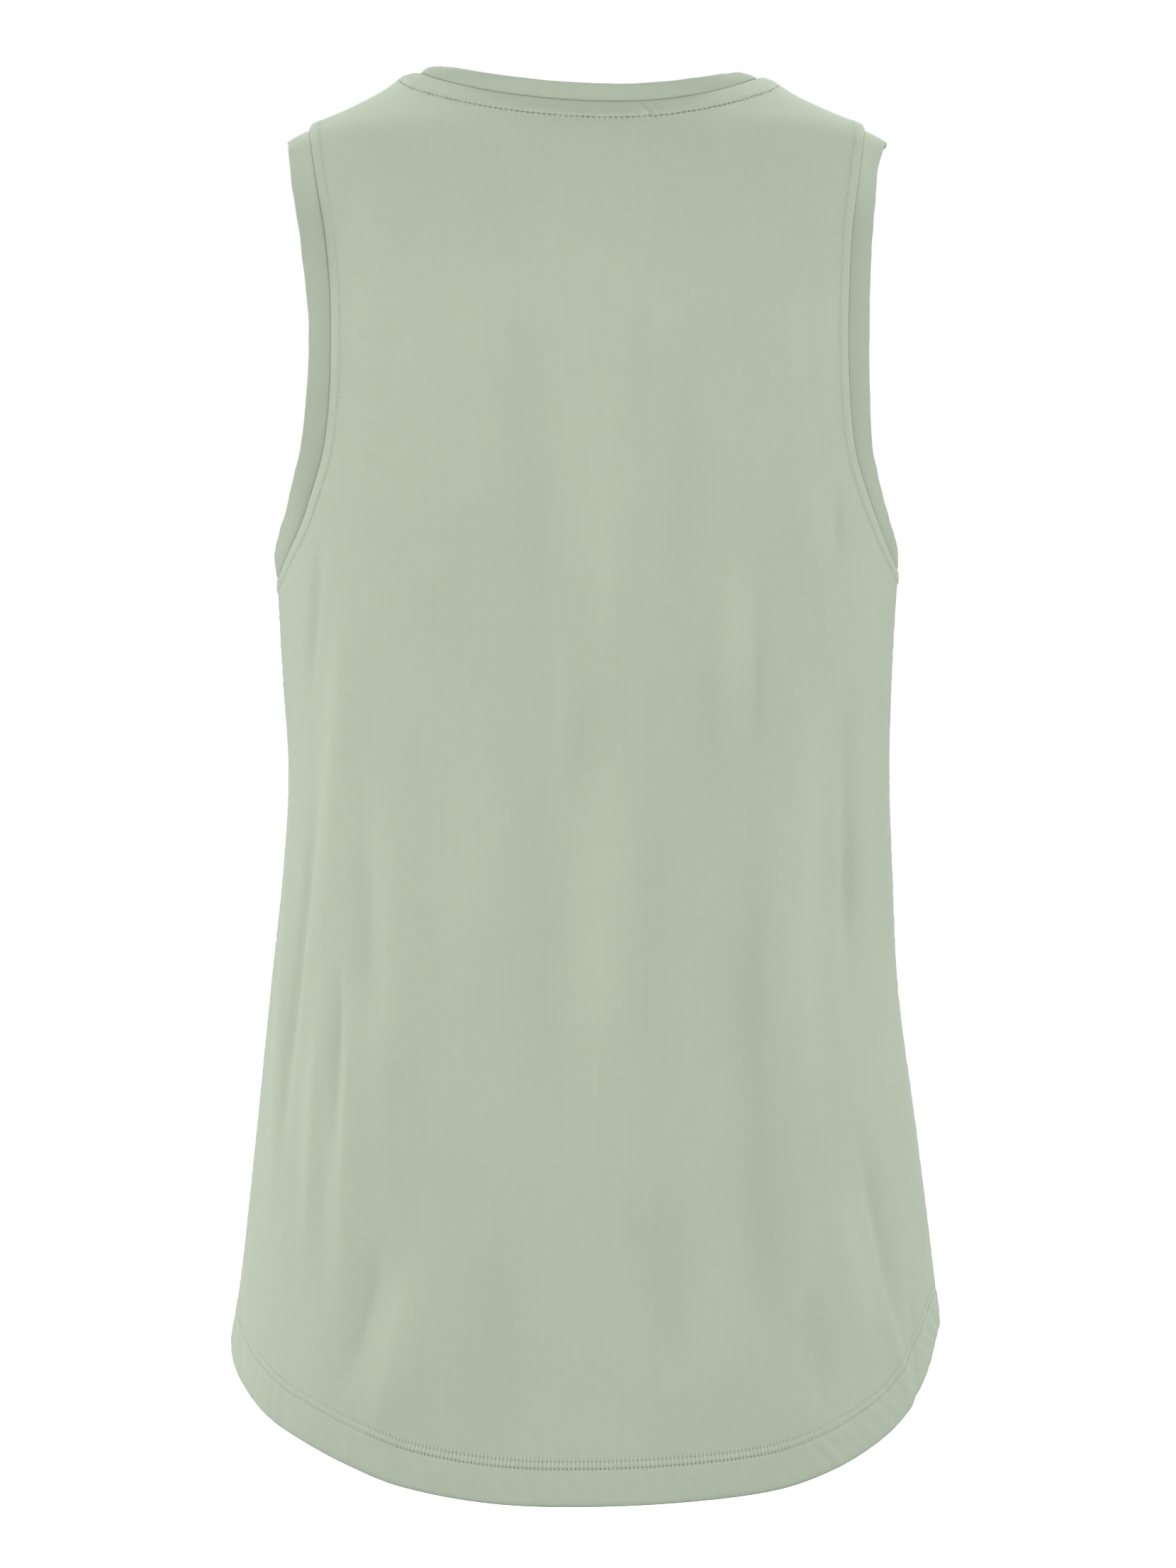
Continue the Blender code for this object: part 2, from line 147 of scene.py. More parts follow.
# Folds run from a top point to a foot and may bow sideways; a rise below zero is a trough.
# Skew makes the right flank of a fold steeper, or the left one if it is below zero.
Fold = namedtuple("Fold", "topX topZ footX footZ width rise bow skew crisp")
folds = {
    "back": [
        Fold(7, -185, 11, -320, 9, 1.6, 0, 0, 0.3),
        Fold(13.5, -340, 4, -520, 17, 2.6, -2, 0.15, 0.2),
        Fold(-13.5, -268, -14.5, -395, 4.5, 1.1, 0, 0.2, 0.6),
        Fold(-1, -295, -7, -380, 5, -1.5, 3, 0, 0.5),
        Fold(-36, -85, -26, -340, 13, -1.8, -1.5, 0.15, 0),
        Fold(-27, -330, -22, -560, 13, -1.6, 0, 0.1, 0.1),
        Fold(54, -105, 48, -300, 12, -1.6, 1.5, -0.15, 0),
        Fold(28, -105, 31, -215, 8, -0.9, 0, 0, 0.1),
        Fold(37, -300, 34, -560, 12, -1.4, 1.5, -0.15, 0.1),
        Fold(74, -232, 76, -352, 7.5, 1.9, 0, 0.2, 0.5),
        Fold(86, -252, 86, -362, 5.5, -1.0, 0, 0, 0.3),
        Fold(62, -240, 64, -420, 7, -0.7, 1, 0, 0.1),
        Fold(112, -285, 107, -540, 11, 2.5, -4, 0.1, 0.3),
        Fold(127, -285, 131, -480, 8, -1.5, 1, 0, 0.2),
        Fold(131, -358, 130, -450, 4.5, -0.7, 0, 0.2, 0.4),
        Fold(86, -355, 95, -680, 13, -2.4, -3, 0.25, 0.15),
        Fold(132, -515, 157, -644, 7, -2.0, 1, -0.25, 0.5),
        Fold(122, -545, 141, -655, 9, 1.6, 0, 0, 0.2),
        Fold(146, -600, 164, -680, 5, 1.0, 0, 0, 0.4),
        Fold(124, -205, 125, -250, 4, -1.0, 0, 0, 0.5),
        Fold(106, -190, 116, -265, 8, 1.0, 0, 0.2, 0.2),
        Fold(-133, -218, -140, -328, 4.5, -1.2, 0, 0, 0.6),
        Fold(-120, -240, -136, -440, 11, 1.9, 2, -0.2, 0.1),
        Fold(-131, -330, -155, -560, 4.5, -2.1, -2, 0.2, 0.8),
        Fold(-146, -300, -160, -600, 8, 1.6, -1, 0, 0.2),
        Fold(-124.5, -425, -124.5, -565, 4, -1.5, 0, -0.2, 0.8),
        Fold(-119, -455, -123, -625, 7.5, 1.9, 0, 0.1, 0.5),
        Fold(-132, -440, -141, -620, 6.5, 1.5, -1, 0, 0.3),
        Fold(-112, -365, -106, -490, 9, -1.4, 0, 0, 0.1),
        Fold(-96, -330, -100, -540, 12, 1.3, 0, 0, 0.1),
        Fold(-100, -570, -122, -664, 8, -2.1, 0, 0.2, 0.4),
        Fold(-83, -585, -107, -685, 9, 2.2, 0, 0, 0.4),
        Fold(-86, -470, -93, -600, 12, -1.2, 0, 0, 0.1),
        Fold(-44, -560, -50, -715, 14, -1.5, 0, 0, 0),
        Fold(36, -540, 45, -655, 11, -1.3, 0, 0, 0.1),
        Fold(69, -545, 70, -665, 9, 1.5, 0, 0.1, 0.2),
        Fold(111, -600, 117, -675, 7, -1.3, 0, 0, 0.4),
        Fold(-60, -290, -62, -500, 16, 1.2, 1, 0, 0),
        Fold(-177.5, -600, -173, -664, 3, -0.8, 0, 0, 0.4),
        Fold(161, -600, 166, -680, 3.5, -0.8, 0, 0, 0.3),
    ],
    "front": [
        Fold(-12, -160, -10, -440, 15, 2.0, 2, 0.1, 0.1),
        Fold(26, -190, 34, -620, 12, -2.4, -2, -0.15, 0.2),
        Fold(-48, -240, -56, -660, 12, -2.6, 3, 0.2, 0.2),
        Fold(78, -220, 92, -580, 11, 2.8, -3, 0, 0.3),
        Fold(66, -310, 71, -500, 5, -1.2, 0, 0.2, 0.7),
        Fold(-92, -220, -112, -580, 12, 2.8, 2, -0.2, 0.3),
        Fold(-78, -330, -86, -470, 5, -1.3, 1, 0, 0.7),
        Fold(108, -310, 130, -660, 9, -2.8, 2, 0.15, 0.5),
        Fold(133, -260, 141, -440, 6, -1.6, 0, 0, 0.6),
        Fold(-124, -310, -144, -640, 8, -2.6, -2, 0.1, 0.6),
        Fold(-134, -235, -138, -365, 5, -1.2, 0, 0, 0.5),
        Fold(-136, -440, -150, -620, 7, 1.7, 0, 0, 0.3),
        Fold(122, -450, 140, -620, 7, 1.7, 0, 0, 0.3),
        Fold(6, -470, 2, -715, 16, 2.4, 0, 0, 0.1),
        Fold(-76, -520, -92, -700, 10, -2.0, 0, 0.2, 0.4),
        Fold(58, -540, 66, -700, 10, 1.7, 0, -0.1, 0.2),
        Fold(84, -570, 96, -690, 7, -1.8, 0, 0, 0.5),
        Fold(-30, -150, -62, -245, 9, 1.2, -2, 0.1, 0.1),
        Fold(34, -150, 68, -250, 9, 1.2, 2, -0.1, 0.1),
    ],
}
foldSettings = {
    "depth": 1.6,
    "fade": 0.42,
    "seamFade": 0.3,
    "tipWidth": 0.55,
    "tipPower": 0.6,
    "crestRounding": 0.15,
    "crestReach": 0.6,
}


def curveThrough(places, values):
    # A smooth reading through a table's column, held level past its ends
    order = np.argsort(places)
    places = np.asarray(places, float)[order]
    values = np.asarray(values, float)[order]
    last = len(places) - 1
    before = np.maximum(np.arange(last + 1) - 1, 0)
    after = np.minimum(np.arange(last + 1) + 1, last)
    slopes = (values[after] - values[before]) / (places[after] - places[before])

    def read(place):
        place = np.clip(place, places[0], places[last])
        index = np.clip(np.searchsorted(places, place, side="right") - 1, 0, last - 1)
        span = places[index + 1] - places[index]
        t = (place - places[index]) / span
        rise = t * t * (3 - 2 * t)
        value = values[index] * (1 - rise) + values[index + 1] * rise
        value = value + span * slopes[index] * t * (1 - t) ** 2
        return value - span * slopes[index + 1] * t * t * (1 - t)

    return read


def tableCurves(table):
    columns = table[0]._fields[1:]
    places = [row[0] for row in table]
    return {name: curveThrough(places, [getattr(row, name) for row in table]) for name in columns}


body = tableCurves(sections)
armholeCut = tableCurves(armholes)
hemCurve = tableCurves(hemShares)
neckLean = tableCurves(neckLeans)
armLean = tableCurves(armLeans)


def ease(share):
    share = np.clip(share, 0, 1)
    return share * share * (3 - 2 * share)


def bump(place, width):
    return np.exp(-((place / width) ** 2))


def waver(run, seed, length):
    # An uneven wave along a run, between about -1 and 1, with waves of about this length
    chance = np.random.default_rng(seed)
    total = 0
    for _ in range(5):
        stretch = chance.uniform(0.55, 1.6)
        total = total + np.sin(2 * math.pi * (run * stretch / length + chance.uniform()))
    return total / 3.2


# The cloth's surface: turn runs from the left side seam (0) to the right one (pi)
def halfWidth(turn, height):
    return np.where(turn < math.pi / 2, body["left"](height), body["right"](height))


def foldRise(panel, turn, height):
    s = foldSettings
    total = np.zeros(np.broadcast(turn, height).shape)
    for fold in folds[panel]:
        along = np.clip((height - fold.footZ) / (fold.topZ - fold.footZ), 0, 1)
        middleX = fold.footX + (fold.topX - fold.footX) * along
        middleX = middleX + fold.bow * 4 * along * (1 - along)
        width = body["left" if fold.topX < 0 else "right"](height)
        middle = np.arccos(np.clip(-middleX / width, -1, 1))
        away = (turn - middle) * (width + body[panel](height)) / 2
        away = away * (1 + fold.skew * np.tanh(away / fold.width))
        full = np.sin(math.pi * along) ** s["tipPower"]
        spread = fold.width * (s["tipWidth"] + (1 - s["tipWidth"]) * full)
        # A crisp fold has a narrow crest between hollow flanks
        slope = np.sqrt((away / spread) ** 2 + s["crestRounding"] ** 2)
        crest = np.exp((s["crestRounding"] - slope) / s["crestReach"])
        ends = ease(along / s["fade"]) * ease((1 - along) / s["fade"])
        total += fold.rise * (bump(away, spread) * (1 - fold.crisp) + crest * fold.crisp) * ends
    return total * s["depth"] * ease(np.sin(turn) / s["seamFade"])


def clothPoint(panel, turn, height, folded=True):
    width = halfWidth(turn, height)
    depth = body[panel](height)
    side = outward[panel]
    rise = foldRise(panel, turn, height) if folded else 0
    outX = -np.cos(turn) / width
    outY = np.sin(turn) / depth
    size = np.hypot(outX, outY)
    x = -width * np.cos(turn) + rise * outX / size
    y = depth * np.sin(turn) + rise * outY / size + garment["halfSeamGap"]
    return np.stack(np.broadcast_arrays(x, side * y, height), axis=-1)


def clothSlopes(panel, turn, height, folded=True):
    # Change of the cloth's point with turn and with height
    stepTurn = 0.004
    stepHeight = 0.4
    byTurn = clothPoint(panel, turn + stepTurn, height, folded)
    byTurn = (byTurn - clothPoint(panel, turn - stepTurn, height, folded)) / (2 * stepTurn)
    byHeight = clothPoint(panel, turn, height + stepHeight, folded)
    byHeight = (byHeight - clothPoint(panel, turn, height - stepHeight, folded)) / (2 * stepHeight)
    return byTurn, byHeight


def unit(vectors):
    return vectors / np.linalg.norm(vectors, axis=-1, keepdims=True)


def clothNormal(panel, turn, height, folded=True):
    byTurn, byHeight = clothSlopes(panel, turn, height, folded)
    return unit(np.cross(byHeight, byTurn) * outward[panel])


def armholeTurn(panel, right, height):
    side = "right" if right else "left"
    reach = armholeCut[side](height)
    if panel == "front":
        reach = reach - armholeCut["frontInset"](height)
    turn = np.arccos(np.clip(reach / body[side](height), -1, 1))
    inside = (height > garment["underarm"][right]) & (height < garment["shoulderTip"][right])
    return np.where(inside, turn, 0.0)


def hemHeight(panel, turn):
    low, high = garment["hemSide"]
    fromSide = np.degrees(np.minimum(turn, math.pi - turn))
    share = np.where(turn > math.pi / 2, hemCurve["right"](fromSide), hemCurve["left"](fromSide))
    return low + (high - low) * turn / math.pi - garment["hemDrop"][panel] * share


def neckPlaces(panel, across):
    angle = math.pi * across
    left, right = garment["neckPoint"]
    pointHeight = np.where(across > 0.5, right, left)
    x = -halfWidth(angle, pointHeight) * np.cos(angle)
    lowestX = garment["neckLowestX"][panel]
    endX = np.where(x > lowestX, body["right"](right), -body["left"](left))
    share = (x - lowestX) / (endX - lowestX)
    drop = garment["neckDrop"][panel] * np.maximum(0, 1 - share ** 2) ** garment["neckPower"][panel]
    height = left + (right - left) * across - drop
    return np.arccos(np.clip(-x / halfWidth(angle, height), -1, 1)), height


def kindOf(name):
    return name.replace("Left", "").replace("Right", "")


def lengthAlong(points):
    steps = np.linalg.norm(np.diff(points, axis=0), axis=1)
    return np.concatenate([[0], np.cumsum(steps)])


def evenly(panel, turn, height, step):
    # The same run of places, even steps apart along the cloth
    run = lengthAlong(clothPoint(panel, turn, height, False))
    even = np.linspace(0, run[-1], max(2, round(run[-1] / step) + 1))
    return np.interp(even, run, turn), np.interp(even, run, height)


def panelEdges(panel, step):
    # Each edge, all run anticlockwise as seen from behind, so the cloth is on the left
    samples = 1201
    swing = 0.5 - 0.5 * np.cos(np.linspace(0, math.pi, samples))
    raw = {"hem": (math.pi * swing, hemHeight(panel, math.pi * swing))}
    for right in (1, 0):
        ends = ("hemSide", "underarm", "shoulderTip", "neckPoint")
        low, under, tip, top = [garment[key][right] for key in ends]
        seamTurn = math.pi * right
        climbs = [("side", low, under), ("armhole", under, tip), ("shoulder", tip, top)]
        for name, start, end in climbs:
            height = start + (end - start) * swing
            turn = np.full(height.shape, seamTurn)
            if name == "armhole":
                inset = armholeTurn(panel, right, height)
                turn = math.pi - inset if right else inset
            if not right:
                turn, height = turn[::-1], height[::-1]
            raw[name + ("Right" if right else "Left")] = (turn, height)
    raw["neck"] = neckPlaces(panel, swing[::-1])
    order = ["hem", "sideRight", "armholeRight", "shoulderRight"]
    order += ["neck", "shoulderLeft", "armholeLeft", "sideLeft"]
    return {name: evenly(panel, *raw[name], step) for name in order}


def inwardsStep(panel, name, turn, height):
    # Changes of turn and height that move 1 mm into the panel, square to its edge
    byTurn, byHeight = clothSlopes(panel, turn, height, False)
    a = (byTurn * byTurn).sum(-1)
    b = (byTurn * byHeight).sum(-1)
    c = (byHeight * byHeight).sum(-1)
    alongTurn = np.gradient(turn)
    alongHeight = np.gradient(height)
    stepTurn = -(b * alongTurn + c * alongHeight)
    stepHeight = a * alongTurn + b * alongHeight
    if kindOf(name) in ("hem", "neck", "armhole"):
        # These edges meet the side and shoulder seams square, over this many points
        squared = 5
        count = len(turn)
        fromEnd = np.minimum(np.arange(count), count - 1 - np.arange(count))
        stepTurn = stepTurn * ease(fromEnd / squared)
    size = np.sqrt(a * stepTurn ** 2 + 2 * b * stepTurn * stepHeight + c * stepHeight ** 2)
    return stepTurn / size, stepHeight / size


# Near-true lengths round and along the cloth, for an even mesh and for the knit
usualWidth = 157
usualDepth = 105
turnKnots = np.linspace(-0.2, math.pi + 0.2, 1601)
girthRun = np.cumsum(np.hypot(usualWidth * np.sin(turnKnots), usualDepth * np.cos(turnKnots)))
girthRun = girthRun * (turnKnots[1] - turnKnots[0])
girthRun -= girthRun[len(girthRun) // 2]
heightKnots = np.linspace(-730, 6, 3681)


def lengthUp(curve):
    slope = np.gradient(curve(heightKnots), heightKnots)
    rise = np.sqrt(1 + slope ** 2)
    return np.concatenate([[0], np.cumsum((rise[1:] + rise[:-1]) / 2 * np.diff(heightKnots))])


sideRun = lengthUp(lambda height: (body["left"](height) + body["right"](height)) / 2)
middleRun = {panel: lengthUp(body[panel]) for panel in outward}


def toPlane(turn, height):
    return np.interp(turn, turnKnots, girthRun), np.interp(height, heightKnots, sideRun)


def fromPlane(u, v):
    return np.interp(u, girthRun, turnKnots), np.interp(v, sideRun, heightKnots)


def knitPlace(panel, turn, height):
    # Lengths across the wales and along them, so that the knit keeps its size all over
    around = np.interp(turn, turnKnots, girthRun) * (halfWidth(turn, height) + body[panel](height))
    around = around / (usualWidth + usualDepth)
    share = np.sin(turn) ** 2
    up = share * np.interp(height, heightKnots, middleRun[panel])
    up = up + (1 - share) * np.interp(height, heightKnots, sideRun)
    return around, up


class SeamLine:
    # Measures how far points of the cloth are from an edge, and how far along it

    def __init__(self, points):
        self.points = points
        self.run = lengthAlong(points)
        self.tree = KDTree(len(points))
        for index, point in enumerate(points):
            self.tree.insert(point, index)
        self.tree.balance()

    def measure(self, places):
        nearest = np.array([self.tree.find(place)[1] for place in places])
        bestDistance = np.full(len(places), 1e9)
        bestRun = np.zeros(len(places))
        for shift in (-1, 0):
            start = np.clip(nearest + shift, 0, len(self.points) - 2)
            origin = self.points[start]
            span = self.points[start + 1] - origin
            share = ((places - origin) * span).sum(1) / (span * span).sum(1)
            share = np.clip(share, 0, 1)
            distance = np.linalg.norm(places - origin - span * share[:, None], axis=1)
            closer = distance < bestDistance
            bestDistance = np.where(closer, distance, bestDistance)
            place = self.run[start] + share * np.linalg.norm(span, axis=1)
            bestRun = np.where(closer, place, bestRun)
        return bestDistance, bestRun


# Panels
panelSettings = {
    "wall": 0.8,
    "hemWall": 2.0,
    "edgeStep": 1.4,
    "meshStep": 3.2,
    "meshReach": 260,
    "lineGap": 0.4,
    "fillGap": 0.45,
    "hemRawEdge": 23.0,
    "hemRows": (18.4, 21.8),
    "hemGroove": 0.34,
    "hemRidge": 0.16,
    "hemBulge": 0.3,
    "hemBulgeReach": 2.5,
    "hemRoll": 0.55,
    "hemThinning": 1.0,
    "bulk": 1.1,
    "armholeBulk": 0.385,
    "bulkReach": 4.5,
    "tipRoll": 2.0,
    "tipRollReach": 13,
    "tipFlatness": 0.75,
    "tipFlatReach": 22,
}

# How the cloth lies along each kind of seam: a strip raised over the allowance, and stitch grooves
SeamKind = namedtuple("SeamKind", "stitchAt lift fall roll groove pucker")
seamKinds = {
    "neck": SeamKind(11.0, 0.5, 1.5, 0.55, 0.5, 0.16),
    "armhole": SeamKind(6.2, 0.42, 1.6, 0.5, 0.14, 0.1),
    "side": SeamKind(7.0, 0.22, 2.5, 0.55, 0.0, 0.16),
    "shoulder": SeamKind(6.5, 0.25, 2.0, 0.5, 0.0, 0.1),
}
# Reach across the seam of each part of that relief, and the size and length of its waves along it
seamShape = {
    "liftReach": 1.4,
    "liftStart": 0.5,
    "liftGrowth": 0.8,
    "liftWaves": (0.25, 26),
    "lineReach": 0.5,
    "grooveWaves": (0.3, 11),
    "puckerLength": 7,
    "puckerReach": 3.6,
}
# Ripples of the turned-up layer, and shorter ones at its rows of stitches
HemRipple = namedtuple("HemRipple", "rise length slant place reach")
hemRipples = [HemRipple(0.24, 13, 0.45, 9, 9), HemRipple(0.12, 6, 0, 20, 4.5)]
# Small puckers in the strip below the neck seam of the back, by their place along it
Pucker = namedtuple("Pucker", "place rise")
neckPuckers = [Pucker(25.0, 0.9), Pucker(28.2, -0.8), Pucker(34.0, -0.6)]

# Distances from each edge at which the mesh has a line of points
meshLines = {
    "neck": (0.5, 1.1, 2.2, 4.4, 6.8, 9.0, 10.4, 11.0, 11.6, 12.6, 14.6),
    "armhole": (0.5, 1.1, 2.4, 4.2, 5.6, 6.2, 6.8, 7.8, 9.4),
    "hem": (0.35, 0.9, 2.2, 4.5, 7, 9.5, 12, 14.4, 16.6, 17.8, 18.4, 19.0, 20.1, 21.2, 21.8, 22.4,
            23.2, 24.4),
    "side": (0.6, 1.4, 3.0),
    "shoulder": (0.6, 1.4, 3.0),
}


def seamRelief(distance, run, kind, seed):
    seam = seamKinds[kind]
    s = seamShape
    past = distance - seam.stitchAt
    lift = seam.lift * ease((distance + 0.2) / s["liftReach"]) * (1 - ease((past + 0.4) / seam.fall))
    lift = lift * (s["liftStart"] + s["liftGrowth"] * np.clip(distance / seam.stitchAt, 0, 1))
    lift = lift * (1 + s["liftWaves"][0] * waver(run, seed, s["liftWaves"][1]))
    lift -= seam.roll * bump(distance, s["lineReach"])
    uneven = 1 + s["grooveWaves"][0] * waver(run, seed + 1, s["grooveWaves"][1])
    lift -= seam.groove * bump(past, s["lineReach"]) * uneven
    puckered = bump(distance - seam.stitchAt * 0.8, s["puckerReach"])
    lift += seam.pucker * waver(run, seed + 2, s["puckerLength"]) * puckered
    return lift


def hemRelief(distance, run, seed):
    # Two stitched grooves with a ridge between them, over the turned-up layer
    s = panelSettings
    low, high = s["hemRows"]
    reach = s["hemBulgeReach"]
    lift = s["hemBulge"] * ease(distance / reach) * (1 - ease((distance - low + 1.5) / reach))
    for index, ripple in enumerate(hemRipples):
        wave = waver(run + ripple.slant * distance, seed + index, ripple.length)
        lift += ripple.rise * wave * bump(distance - ripple.place, ripple.reach)
    lift += s["hemRidge"] * bump(distance - (low + high) / 2, 1.0)
    for row in (low, high):
        lift -= s["hemGroove"] * bump(distance - row, 0.5)
    return lift - s["hemRoll"] * bump(distance, 0.42)


def hemThickness(distance):
    s = panelSettings
    thick = s["hemWall"] - s["hemThinning"] * bump(distance, 0.5)
    return thick + (s["wall"] - thick) * ease((distance - s["hemRawEdge"]) / 0.9)


def panelRelief(panel, near):
    # How far each point of the cloth stands off its plain form, near its seams
    s = panelSettings
    seed = 10 if panel == "back" else 60
    lift = hemRelief(*near["hem"], seed)
    for offset, name in enumerate(near):
        kind = kindOf(name)
        if kind in seamKinds:
            relief = seamRelief(*near[name], kind, seed + 5 + 3 * offset)
            if kind == "armhole":
                # The seam flattens out towards the shoulder
                shoulder = near[name.replace(kind, "shoulder")][0]
                relief = relief * (1 - s["tipFlatness"] * bump(shoulder, s["tipFlatReach"]))
            lift = lift + relief
    for side in ("Left", "Right"):
        # Seams that cross make a thick place
        shoulder = near["shoulder" + side][0]
        armhole = near["armhole" + side][0]
        crossing = bump(shoulder, s["bulkReach"])
        lift += s["bulk"] * crossing * bump(near["neck"][0] - 3.5, 4.0)
        lift += s["armholeBulk"] * crossing * bump(armhole - 2.5, 3.0)
        # The armhole edge turns down to its band there
        lift -= s["tipRoll"] * bump(shoulder, s["tipRollReach"]) * bump(armhole, 1.1)
    if panel == "back":
        distance, run = near["neck"]
        for pucker in neckPuckers:
            place = run - run.max() / 2 + pucker.place + 0.4 * (distance - 4.0)
            lift += pucker.rise * bump(place, 1.5) * bump(distance - 7.5, 4.5)
    return lift


def dressedPoint(panel, seams, turn, height):
    # The cloth's outer face with its folds and seams, its outward direction, and what is near
    plain = clothPoint(panel, turn, height, False)
    near = {name: seams[name].measure(plain) for name in seams}
    normal = clothNormal(panel, turn, height)
    point = clothPoint(panel, turn, height) + normal * panelRelief(panel, near)[:, None]
    return point, normal, near


def insidePanel(panel, turn, height, neckLine):
    top = np.interp(turn, neckLine[0], neckLine[1])
    left = armholeTurn(panel, 0, height)
    right = math.pi - armholeTurn(panel, 1, height)
    return (height > hemHeight(panel, turn)) & (height < top) & (turn > left) & (turn < right)


def panelPlan(panel):
    # Points of the panel's mesh in the plane, and the triangles between them
    s = panelSettings
    edges = panelEdges(panel, s["edgeStep"])
    seams = {name: SeamLine(clothPoint(panel, *edges[name], False)) for name in edges}
    neckLine = (edges["neck"][0][::-1], edges["neck"][1][::-1])
    turns = [turn[:-1] for turn, _ in edges.values()]
    heights = [height[:-1] for _, height in edges.values()]
    count = sum(len(turn) for turn in turns)
    outline = list(range(count))
    pairs = []
    for name, (turn, height) in edges.items():
        stepTurn, stepHeight = inwardsStep(panel, name, turn, height)
        for distance in meshLines[kindOf(name)]:
            lineTurn = turn + stepTurn * distance
            lineHeight = height + stepHeight * distance
            kept = insidePanel(panel, lineTurn, lineHeight, neckLine)
            points = clothPoint(panel, lineTurn, lineHeight, False)
            for other in edges:
                if other != name:
                    kept &= seams[other].measure(points)[0] > s["lineGap"]
            places = np.flatnonzero(kept)
            if len(places) < 2:
                continue
            turns.append(lineTurn[places])
            heights.append(lineHeight[places])
            joined = np.flatnonzero(np.diff(places) == 1)
            pairs += [(count + index, count + index + 1) for index in joined.tolist()]
            count += len(places)
    # Staggered points fill the rest
    step = s["meshStep"]
    across = np.arange(-s["meshReach"], s["meshReach"], step)
    u, v = np.meshgrid(across, np.arange(0, sideRun[-1] + 5, step * 0.866))
    u = u + (np.arange(u.shape[0]) % 2)[:, None] * step / 2
    turn, height = fromPlane(u.ravel(), v.ravel())
    kept = insidePanel(panel, turn, height, neckLine)
    turn, height = turn[kept], height[kept]
    points = clothPoint(panel, turn, height, False)
    kept = np.ones(len(turn), bool)
    for name in edges:
        filled = meshLines[kindOf(name)][-1] + s["fillGap"] * step
        kept &= seams[name].measure(points)[0] > filled
    turns.append(turn[kept])
    heights.append(height[kept])
    u, v = toPlane(np.concatenate(turns), np.concatenate(heights))
    flat = [Vector(place) for place in np.stack([u, v], axis=1).tolist()]
    found = delaunay_2d_cdt(flat, pairs, [outline], 1, 1e-5, False)
    plane = np.array([tuple(place) for place in found[0]])
    triangles = np.array(found[2])
    # Triangles that bridge the neck and the armholes are left out
    middle = fromPlane(*plane[triangles].mean(axis=1).T)
    triangles = triangles[insidePanel(panel, *middle, neckLine)]
    return *fromPlane(plane[:, 0], plane[:, 1]), triangles, seams


def vertexNormals(points, triangles):
    corners = points[triangles]
    flat = np.cross(corners[:, 1] - corners[:, 0], corners[:, 2] - corners[:, 0])
    normals = np.zeros(points.shape)
    for corner in range(3):
        np.add.at(normals, triangles[:, corner], flat)
    return unit(normals)


def linkObject(name, data):
    obj = bpy.data.objects.new(name, data)
    bpy.context.scene.collection.objects.link(obj)
    return obj


def makeMesh(name, points, faces, materials, faceMaterials=None, uvMaps=None, rises=None):
    mesh = bpy.data.meshes.new(name)
    mesh.from_pydata((points * mm).tolist(), [], faces)
    mesh.shade_smooth()
    for material in materials:
        mesh.materials.append(material)
    if faceMaterials is not None:
        mesh.polygons.foreach_set("material_index", np.asarray(faceMaterials, np.int32))
    corners = np.empty(len(mesh.loops), np.int32)
    mesh.loops.foreach_get("vertex_index", corners)
    for mapName, values in (uvMaps or {}).items():
        layer = mesh.uv_layers.new(name=mapName)
        layer.data.foreach_set("uv", np.asarray(values, np.float32)[corners].ravel())
    if rises is not None:
        layer = mesh.attributes.new("foldRise", "FLOAT", "POINT")
        layer.data.foreach_set("value", np.asarray(rises, np.float32))
    return linkObject(name, mesh)


def makePanel(panel, pieceName, materials):
    turn, height, triangles, seams = panelPlan(panel)
    outer, _, near = dressedPoint(panel, seams, turn, height)
    if panel == "front":
        triangles = triangles[:, ::-1]
    inner = outer - vertexNormals(outer, triangles) * hemThickness(near["hem"][0])[:, None]
    count = len(outer)
    sides = np.concatenate([triangles[:, pair] for pair in ([0, 1], [1, 2], [2, 0])])
    keys = np.sort(sides, axis=1)
    _, first, uses = np.unique(keys, axis=0, return_index=True, return_counts=True)
    rim = sides[first[uses == 1]]
    rimQuads = np.stack([rim[:, 1], rim[:, 0], rim[:, 0] + count, rim[:, 1] + count], axis=1)
    faces = triangles.tolist() + (triangles[:, ::-1] + count).tolist() + rimQuads.tolist()
    faceMaterials = [0] * len(triangles) + [1] * len(triangles) + [0] * len(rimQuads)
    leftArm, rightArm = near["armholeLeft"], near["armholeRight"]
    near["arm"] = np.where(leftArm[0] < rightArm[0], leftArm, rightArm)
    maps = {"knit": knitPlace(panel, turn, height)}
    for name in ("neck", "arm", "hem"):
        maps[name + "Seam"] = near[name][::-1]
    uvMaps = {name: np.tile(np.stack(place, axis=1), (2, 1)) for name, place in maps.items()}
    rises = np.tile(foldRise(panel, turn, height), 2)
    points = np.concatenate([outer, inner])
    return makeMesh(pieceName, points, faces, materials, faceMaterials, uvMaps, rises), seams


# Bands, built on rings round the neck and the armholes
bandSettings = {
    "neck": {"width": 8.7, "thick": 1.75, "puff": 0.22, "ripple": 0.1, "rippleLength": 17,
             "curl": (2.2, 1.1), "drop": 0.0, "widen": 0.0, "flatten": 0.0},
    "arm": {"width": 12.45, "thick": 1.75, "puff": 0.25, "ripple": 0.16, "rippleLength": 19,
            "curl": (0.0, 0.0), "drop": 4.6, "widen": 0.13, "flatten": 0.65},
    "step": 1.5,
    "tuck": 0.35,
    "shoulderFrom": -100,
    "curlAt": 19,
    "curlReach": 15,
    "dropReach": 15,
    "flattenReach": 26,
}


